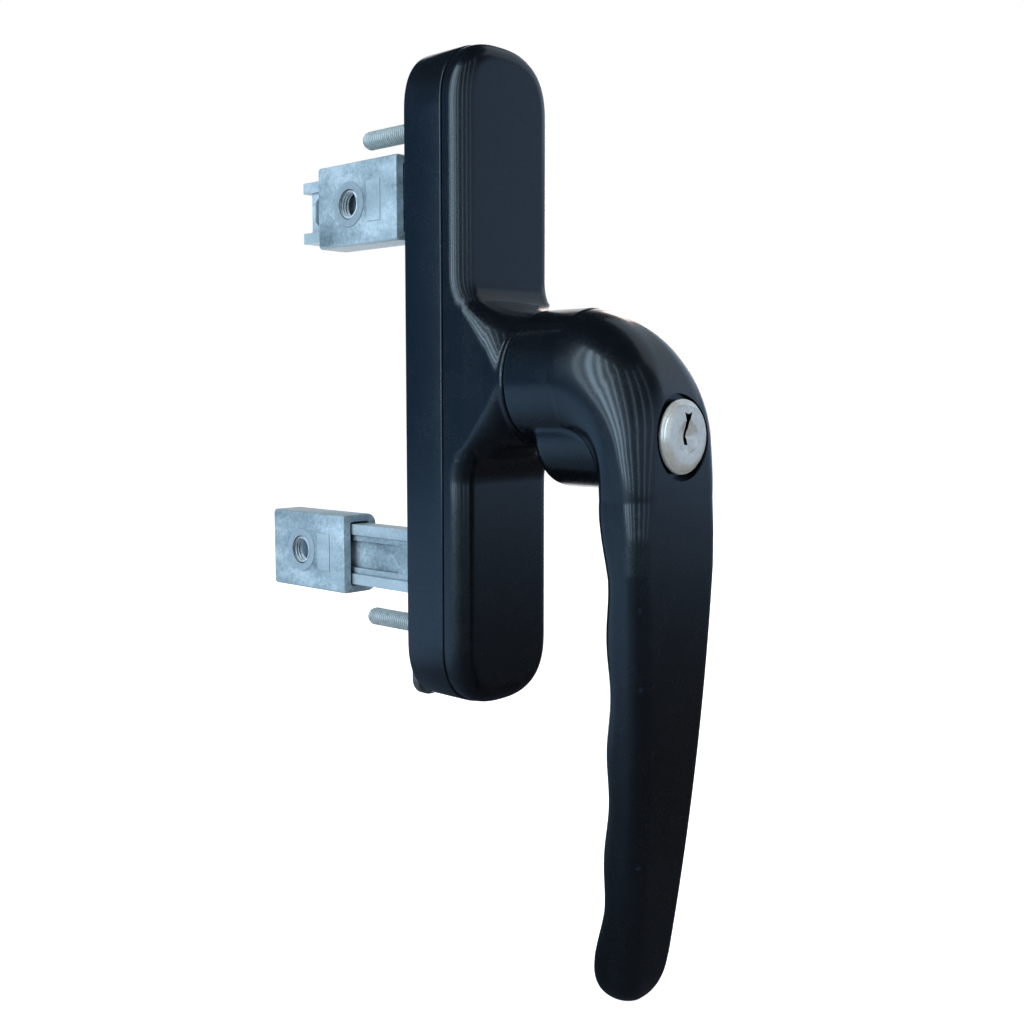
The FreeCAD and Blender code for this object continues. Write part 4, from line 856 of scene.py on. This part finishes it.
def thread_tree():
    tree = bpy.data.node_groups.new("thread", "GeometryNodeTree")
    tree.interface.new_socket("Geometry", in_out="OUTPUT", socket_type="NodeSocketGeometry")
    tree.interface.new_socket("Geometry", in_out="INPUT", socket_type="NodeSocketGeometry")
    for label, kind, size in THREAD_INPUTS:
        tree.interface.new_socket(label, in_out="INPUT", socket_type="NodeSocket" + kind).default_value = size
    tree.interface.new_socket("Finish", in_out="INPUT", socket_type="NodeSocketMaterial")
    given = tree.nodes.new("NodeGroupInput").outputs

    def step(operation, *values):
        return maths(tree, operation, *values)

    spot = add(tree, "ShaderNodeSeparateXYZ", Vector=tree.nodes.new("GeometryNodeInputPosition").outputs[0])
    turn = step("ADD", spot.outputs["X"], 0.5)
    along = step("MULTIPLY", step("ADD", spot.outputs["Y"], 0.5), given["Length"])
    phase = step("FRACT", step("SUBTRACT", step("DIVIDE", along, given["Pitch"]), turn))
    ridge = step("SUBTRACT", 1.0, step("ABSOLUTE", step("MULTIPLY_ADD", phase, 2.0, -1.0)))
    ridge = step("MULTIPLY", step("MAXIMUM", step("SUBTRACT", ridge, ROOT_FLAT), 0.0), RIDGE_GAIN)
    fade_in = step("MINIMUM", step("DIVIDE", along, given["Fade"]), 1.0)
    fade_out = step("MINIMUM", step("DIVIDE", step("SUBTRACT", given["Length"], along), given["Fade"]), 1.0)
    ridge = step("MULTIPLY", step("MINIMUM", ridge, 1.0), step("MULTIPLY", fade_in, fade_out))
    radius = step("MULTIPLY_ADD", ridge, step("SUBTRACT", given["Crest"], given["Root"]), given["Root"])
    angle = step("MULTIPLY", turn, 2 * math.pi)
    wrapped = add(tree, "ShaderNodeCombineXYZ", X=step("MULTIPLY", radius, step("COSINE", angle)),
                  Y=step("MULTIPLY", radius, step("SINE", angle)), Z=along)
    grid = add(tree, "GeometryNodeMeshGrid", Size_X=1.0, Size_Y=1.0, Vertices_X=given["Around"],
               Vertices_Y=given["Along"])
    settings = {"data_type": "FLOAT", "domain": "POINT"}
    form = add(tree, "GeometryNodeStoreNamedAttribute", settings, Name="ridge", Geometry=grid.outputs["Mesh"],
               Value=step("ABSOLUTE", step("SUBTRACT", given["Inside"], ridge)))
    form = add(tree, "GeometryNodeSetPosition", Geometry=form.outputs[0], Position=wrapped.outputs[0])
    form = add(tree, "GeometryNodeMergeByDistance", Geometry=form.outputs[0], Distance=1e-6)
    form = add(tree, "GeometryNodeFlipFaces", Mesh=form.outputs[0], Selection=given["Inside"])
    form = add(tree, "GeometryNodeSetShadeSmooth", Geometry=form.outputs[0])
    form = add(tree, "GeometryNodeRealizeInstances", Geometry=form.outputs[0])
    form = add(tree, "GeometryNodeSetMaterial", Geometry=form.outputs[0], Material=given["Finish"])
    tree.links.new(form.outputs[0], tree.nodes.new("NodeGroupOutput").inputs[0])
    return tree


THREAD = thread_tree()
print("thread tree:", len(THREAD.nodes), "nodes")


# %% Helper: a thread as a plain mesh
def threaded(name, coating, inside=False, **sizes):
    """A thread along +Z from the origin. An outer one gets caps, and an inner one stays open."""
    made = in_scene(name, bpy.data.meshes.new(name))
    step = made.modifiers.new("thread", "NODES")
    step.node_group = THREAD
    wanted = dict(sizes, Inside=inside, Finish=coating)
    for item in THREAD.interface.items_tree:
        if item.in_out == "INPUT" and item.name in wanted:
            step[item.identifier] = wanted[item.name]
    baked(made)
    if not inside:
        form = bmesh.new()
        form.from_mesh(made.data)
        bmesh.ops.holes_fill(form, edges=[e for e in form.edges if e.is_boundary])
        bmesh.ops.recalc_face_normals(form, faces=form.faces)
        form.to_mesh(made.data)
        form.free()
    return made


# %% [markdown]
# ## Fixing screws
# Two machine screws hold the housing to the frame profile, and their threads stick out of the
# back. A cylinder with a striped picture would do from afar, but the threads show from near, so
# they come from the tree above. The head and the reduced shank are turned, and the head has a
# hexagon socket, which nobody sees until the cover is off.

# %% Fixing screws
SCREW_AT = 66.0
HEAD_LINE = [(7.4, 0), (7.4, 3.9), (6.7, 4.6), (4.0, 4.6), (4.0, 2.2), (-10.2, 2.2), (-10.2, 0)]
screw_parts = []
for height in (SCREW_AT, -SCREW_AT):
    head = turned("screw_head", HEAD_LINE, height, segments=64, soft=0.15)
    joined_by(head, prism("socket", circle(2.3, 6), 5.2, 8.0, height))
    shaded(head, 30)
    head.data.materials.append(steel)
    thread = threaded("screw_thread", thread_steel, Root=0.00205, Crest=0.0025, Pitch=0.0008, Length=0.0231,
                      Fade=0.0009, Around=40, Along=420)
    to_rear = Matrix.Rotation(math.radians(-90), 4, "X")
    thread.data.transform(Matrix.Translation(placed(0, -9.9, height)) @ to_rear)
    screw_parts += [head, thread]
screws = merged("fixing_screws_skin", screw_parts)
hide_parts("fixing_screws")
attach(screws, "housing")
print("fixing screws:", triangles(screws), "triangles")

# %% [markdown]
# ## Clamp blocks
# Each arm carries a cast sleeve. Its left wall has a machined ring round a tapped hole, where the
# drive rod's screw goes, and a raised mark that the mould left. A cube with bevels and a boolean
# would make the sleeve, but its corners differ: sharper on the left than on the right. So it is a
# skin of rounded rectangles that turns back through the bore, with a real wall at both ends.

# %% Clamp blocks: the sleeve
BLOCK_LENGTH, BLOCK_WIDE, BLOCK_TALL, BORE_WIDE, BORE_TALL = 32.8, 6.0, 11.2, 3.3, 8.9
LEFT_CORNER, RIGHT_CORNER, BORE_CORNER = 0.9, 2.8, 0.3
HOLE_INSET, MARK_INSET = 19.5, 10.3
BLOCK_EDGE = [(0.45, 0.0), (0.12, 0.12), (0.0, 0.45)]
BORE_EDGE = [(0.3, 0.0), (0.0, 0.3)]


def block_ring(depth, half_wide, half_tall, left, right, height, per=10):
    """A rectangle across X and Z with different rounds on its left and right corners."""
    points = []
    for sx, sz, start in QUARTERS:
        corner = min(right if sx > 0 else left, half_wide)
        cx, cz = sx * (half_wide - corner), sz * (half_tall - corner)
        for s in range(per):
            a = math.radians(start + 90 * s / (per - 1))
            points.append(placed(cx + corner * math.cos(a), depth, height + cz + corner * math.sin(a)))
    return points


def block_sleeve(name, height, start):
    """start: how far behind the mounting face the sleeve begins."""
    def outer(depth, inset):
        return block_ring(depth, BLOCK_WIDE - inset, BLOCK_TALL - inset, LEFT_CORNER, RIGHT_CORNER, height)

    def inner(depth, flare):
        corner = BORE_CORNER + flare
        return block_ring(depth, BORE_WIDE + flare, BORE_TALL + flare, corner, corner, height)

    end = start + BLOCK_LENGTH
    rings = [outer(-start - d, i) for i, d in BLOCK_EDGE]
    rings += [outer(-end + d, i) for i, d in reversed(BLOCK_EDGE)]
    rings += [inner(-end + d, i) for i, d in BORE_EDGE]
    rings += [inner(-start - d, i) for i, d in reversed(BORE_EDGE)]
    return skin(name, rings, around=True)


# %% Clamp blocks: hole, mark and threads
def clamp_block(name, node, body, height, start):
    hole_depth = -(start + HOLE_INSET)
    middle = placed(0, hole_depth, height)
    to_left = Matrix.Translation(middle) @ Matrix.Rotation(math.radians(-90), 4, "Y")

    def lathe(label, line):
        rings = [[Vector((u * MM, v * MM, x * MM)) for u, v in circle(r, 64)] for x, r in line]
        made = skin(label, rings)
        made.data.transform(to_left)
        return made

    sleeve = block_sleeve(name, height, start)
    joined_by(sleeve, lathe("ring_pad", [(4.0, 6.2), (6.1, 6.2), (6.25, 6.05)]), "UNION")
    joined_by(sleeve, lathe("hole_tool", [(2.0, 4.05), (5.9, 4.05), (7.0, 4.3)]))
    mark = []
    for across, inset in ((-5.7, 0.0), (-6.2, 0.0), (-6.35, 0.2)):
        corners = rectangle(2.7 - inset, 5.4 - inset)
        mark.append([placed(across, hole_depth + MARK_INSET + d, height + z) for d, z in corners])
    joined_by(sleeve, skin("mould_mark", mark), "UNION")
    sleeve.data.materials.clear()
    sleeve.data.materials.append(zinc)
    sleeve.data.materials.append(machined)
    for face in sleeve.data.polygons:
        away = face.center - middle
        if face.normal.x < -0.7 and face.center.x < -0.00615 and math.hypot(away.y, away.z) < 0.0063:
            face.material_index = 1
    shaded(sleeve, 32)
    tapped = threaded("tapped_hole", tapped_zinc, inside=True, Root=0.0034, Crest=0.00403, Pitch=0.0009,
                      Length=0.0029, Fade=0.0003, Around=56, Along=64)
    tapped.data.transform(to_left @ Matrix.Translation((0, 0, 0.00325)))
    block = merged(name, [sleeve, tapped])
    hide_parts(node)
    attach(block, body)
    print(name, triangles(block), "triangles")


clamp_block("upper_block_skin", "upper_block", "upper_clamp", 48.6, 15.1)
clamp_block("lower_block_skin", "lower_block", "lower_clamp", -48.6, 38.6)

# %% [markdown]
# ## CAD pieces that keep their shape
# The arms, chassis, gears, washers and pins already have the right shape, so remaking them would
# gain nothing. They get their finish, their loose triangles are welded, and a narrow bevel rounds
# their edges, so that they catch the light as real castings do. Modifiers leave the CAD meshes
# themselves untouched.

# %% Finishes and edges of the remaining CAD nodes
def dressed(name, coating, edge):
    """edge: the width of the bevel in mm."""
    piece = nodes[name]
    piece.data.materials.clear()
    piece.data.materials.append(coating)
    weld = piece.modifiers.new("weld", "WELD")
    weld.merge_threshold = 1e-6
    if edge:
        bevel = piece.modifiers.new("edges", "BEVEL")
        bevel.width, bevel.segments, bevel.limit_method = edge * MM, 2, "ANGLE"
        bevel.angle_limit = math.radians(35)


for coating, edge, names in [
    # the chassis takes the darker zinc copy, which is painted shade
    (shadow_dark_zinc, 0.22, ["chassis"]),
    (zinc, 0.2, ["upper_slider", "lower_slider"]),
    (zinc, 0.1, ["strike_ring"]),
    (steel, 0.1, ["cover_screws", "barrel_pin"]),
    (steel, 0.08, ["pinion", "gear_cover", "screw_washers", "plug_clip"]),
    (steel, 0.06, ["circlip"]),
    (steel, 0.05, ["wave_washer"]),
    (steel, 0.0, ["spindle", "locking_pin"]),
    (nylon, 0.1, ["spindle_bush"]),
    (nylon, 0.05, ["thrust_washer"]),
    # the joint frame's near-black rubber is partly painted shade for the gap between base and cover
    (gap_shade_rubber, 0.1, ["joint_gasket"]),
]:
    for name in names:
        dressed(name, coating, edge)
print("CAD nodes kept:", sorted(n for n in nodes if not nodes[n].hide_render))

# %% [markdown]
# ## Studio
# The photograph is a cut-out on white, yet its dark paint mirrors a dim, bluish room. A picture of
# a room could light the scene, but a few ramps of colour are easier to steer. The world is white
# for the camera, through glass, and for reflections that look at the backdrop behind the part. All
# other reflections see a blue sky that darkens overhead. The floor is pale and matt for the lamps,
# white where the backdrop is, and carries the sky's colours on for the other reflections.

# %% World
BEHIND_LEFT = (-0.72, 0.69, 0.0)
BACKDROP = (0.730, 0.677, -0.094)
# from the side opposite BEHIND_LEFT to BEHIND_LEFT itself
SKY = [(0.0, (0.26, 0.40, 0.60)), (0.5, (0.11, 0.18, 0.28)), (0.85, (0.20, 0.36, 0.54)),
       (0.97, (0.045, 0.14, 0.29)), (1.0, (0.04, 0.125, 0.26))]
GROUND = [(0.0, (0.04, 0.04, 0.045)), (0.5, (0.03, 0.04, 0.055)), (0.8, (0.10, 0.16, 0.24)),
          (1.0, (0.34, 0.60, 0.95))]
# from the horizon up
OVERHEAD = [(0.0, (1, 1, 1)), (0.3, (0.85, 0.85, 0.85)), (0.6, (0.1, 0.1, 0.1)), (1.0, (0.04, 0.04, 0.04))]


def toward(tree, direction, aim):
    """The cosine between a direction and an aim."""
    made = add(tree, "ShaderNodeVectorMath", {"operation": "DOT_PRODUCT"}, _0=direction, _1=aim)
    return made.outputs["Value"]


def backdrop(tree, ray, direction):
    """1 for camera and transmission rays, and for glossy rays that meet the backdrop behind the part."""
    there = span(tree, toward(tree, direction, BACKDROP), 0, 1, 0.79, 0.86)
    seen = maths(tree, "MAXIMUM", ray["Is Camera Ray"], ray["Is Transmission Ray"])
    return maths(tree, "MAXIMUM", seen, maths(tree, "MULTIPLY", ray["Is Glossy Ray"], there))


def either(tree, share, one, other):
    return add(tree, "ShaderNodeMixShader", _0=share, _1=one, _2=other).outputs[0]


world = bpy.data.worlds.new("studio")
bpy.context.scene.world = world
world.use_nodes = True
tree = world.node_tree
tree.nodes.clear()
ray = tree.nodes.new("ShaderNodeLightPath").outputs
direction = tree.nodes.new("ShaderNodeTexCoord").outputs["Generated"]
side = span(tree, toward(tree, direction, BEHIND_LEFT), 0, 1, -1, 1)
rise = add(tree, "ShaderNodeSeparateXYZ", Vector=direction).outputs["Z"]
sky = blended(tree, 1.0, ramp(tree, side, SKY), ramp(tree, rise, OVERHEAD), "MULTIPLY")
mirrored = add(tree, "ShaderNodeBackground", Color=sky, Strength=1.0).outputs[0]
lit = add(tree, "ShaderNodeBackground", Color=(0.90, 0.95, 1.0, 1), Strength=0.32).outputs[0]
white = add(tree, "ShaderNodeBackground", Color=(1, 1, 1, 1), Strength=1.0).outputs[0]
room = either(tree, ray["Is Glossy Ray"], lit, mirrored)
add(tree, "ShaderNodeOutputWorld", Surface=either(tree, backdrop(tree, ray, direction), room, white))
print("world:", len(tree.nodes), "nodes")

# %% Floor
FLOOR_HEIGHT, FLOOR_HALF = -0.149, 4.0
form = bmesh.new()
bmesh.ops.create_grid(form, x_segments=1, y_segments=1, size=FLOOR_HALF)
floor = in_scene("floor", mesh_data("floor", form))
floor.data.transform(Matrix.Translation((0, 0, FLOOR_HEIGHT)))
pale, tree, shader, place = finish("pale_floor")
ray = tree.nodes.new("ShaderNodeLightPath").outputs
spot = tree.nodes.new("ShaderNodeNewGeometry").outputs["Position"]
outward = add(tree, "ShaderNodeVectorMath", {"operation": "NORMALIZE"}, _0=spot).outputs["Vector"]
shown = backdrop(tree, ray, outward)
fed(tree, shader, Base_Color=(0.82, 0.83, 0.84, 1), Roughness=0.9, Emission_Color=(1, 1, 1, 1),
    Emission_Strength=span(tree, shown, 0.0, 0.8))
side = span(tree, toward(tree, outward, BEHIND_LEFT), 0, 1, -1, 1)
distance = add(tree, "ShaderNodeVectorMath", {"operation": "LENGTH"}, _0=spot).outputs["Value"]
far = span(tree, distance, 0, 1, 0.3, 2.2)
under = blended(tree, far, ramp(tree, side, GROUND), ramp(tree, side, SKY))
mirrored = add(tree, "ShaderNodeEmission", Color=under, Strength=1.0).outputs[0]
settings = {"operation": "SUBTRACT", "use_clamp": True}
elsewhere = add(tree, "ShaderNodeMath", settings, _0=ray["Is Glossy Ray"], _1=shown).outputs["Value"]
output = [n for n in tree.nodes if n.type == "OUTPUT_MATERIAL"][0]
fed(tree, output, Surface=either(tree, elsewhere, shader.outputs["BSDF"], mirrored))
floor.data.materials.append(pale)
print("floor at", FLOOR_HEIGHT, "m")

# %% [markdown]
# The lamps are soft boxes. Small lamps would make hard dots on the paint, and one big box would
# wash it out. So the window, the overhead and the front box light the part without being
# mirrored, and narrow upright strips draw the thin streaks on the shoulder, the elbow and the
# flare. A weak warm box to the right rear outlines the right edge, as a room lamp does, and a wide
# one above it puts a soft sheen on the faces that turn up and right.

# %% Soft boxes
STRIP_DISTANCE, STRIP_HEIGHT, STRIP_TALL = 0.9, 0.70, 1.6
STRIP_COLOUR = (0.60, 0.82, 1.0)
# heading and spread in degrees, then brightness
STRIPS = [(157, 5, 3.0), (168, 6, 6.5), (180, 6, 6.0), (193, 4, 5.0), (209, 4, 3.0), (234, 6, 1.6),
          (258, 4, 1.6), (282, 5, 0.8)]


def softbox(name, spot, aim, size, power, colour, in_mirror=True):
    data = bpy.data.lights.new(name, "AREA")
    data.shape = "RECTANGLE"
    data.size, data.size_y = size
    data.energy, data.color = power, colour
    made = in_scene(name, data)
    made.location = spot
    made.rotation_euler = (Vector(aim) - Vector(spot)).to_track_quat("-Z", "Y").to_euler()
    made.visible_glossy = in_mirror


softbox("window", (-1.1, 0.15, 0.45), (0, -0.02, 0), (0.9, 1.3), 9, (0.90, 0.95, 1.0), in_mirror=False)
softbox("overhead", (-0.1, -0.25, 1.2), (0, -0.03, 0), (0.7, 0.7), 4, (0.92, 0.96, 1.0), in_mirror=False)
for number, (heading, spread, brightness) in enumerate(STRIPS):
    a, wide = math.radians(heading), STRIP_DISTANCE * math.radians(spread)
    spot = (STRIP_DISTANCE * math.cos(a), STRIP_DISTANCE * math.sin(a), STRIP_HEIGHT)
    power = brightness * math.pi * wide * STRIP_TALL
    softbox("strip_%d" % number, spot, (0, -0.03, STRIP_HEIGHT), (wide, STRIP_TALL), power, STRIP_COLOUR)
softbox("room", (0.95, 0.5, 0.2), (0, -0.03, 0), (0.2, 0.8), 1.4, (1.0, 0.84, 0.74))
softbox("above_right", (0.80, -0.15, 0.62), (0.02, -0.06, 0), (0.9, 0.9), 1.1, (0.72, 0.87, 1.0))
softbox("front", (-0.2, -1.1, 0.25), (0, -0.03, 0), (0.5, 0.5), 2.5, (0.95, 0.97, 1.0), in_mirror=False)

# %% [markdown]
# ## Camera
# The camera stands to the front left, a little above the lock, looking slightly down. Its lens and
# place could be guessed by eye, but they come from matching known corners of the housing with the
# photograph, so that render and photograph can be laid over each other.

# %% Camera
FOCAL_PIXELS, PICTURE_PIXELS, SENSOR = 1221.06, 1024, 36.0
CAMERA_SPOT, YAW, PITCH = (-0.2256, -0.2300, -0.0039), math.radians(47.16), math.radians(-5.39)
camera_data = bpy.data.cameras.new("camera")
camera_data.sensor_width = SENSOR
camera_data.lens = FOCAL_PIXELS / PICTURE_PIXELS * SENSOR
camera_data.clip_start = 0.01
camera = in_scene("camera", camera_data)
camera.location = CAMERA_SPOT
look = Vector((math.sin(YAW) * math.cos(PITCH), math.cos(YAW) * math.cos(PITCH), math.sin(PITCH)))
camera.rotation_euler = look.to_track_quat("-Z", "Y").to_euler()
bpy.context.scene.camera = camera
bpy.context.scene.view_settings.view_transform = "Standard"
print("camera at", tuple(round(c, 4) for c in camera.location), "looking", tuple(round(c, 3) for c in look))
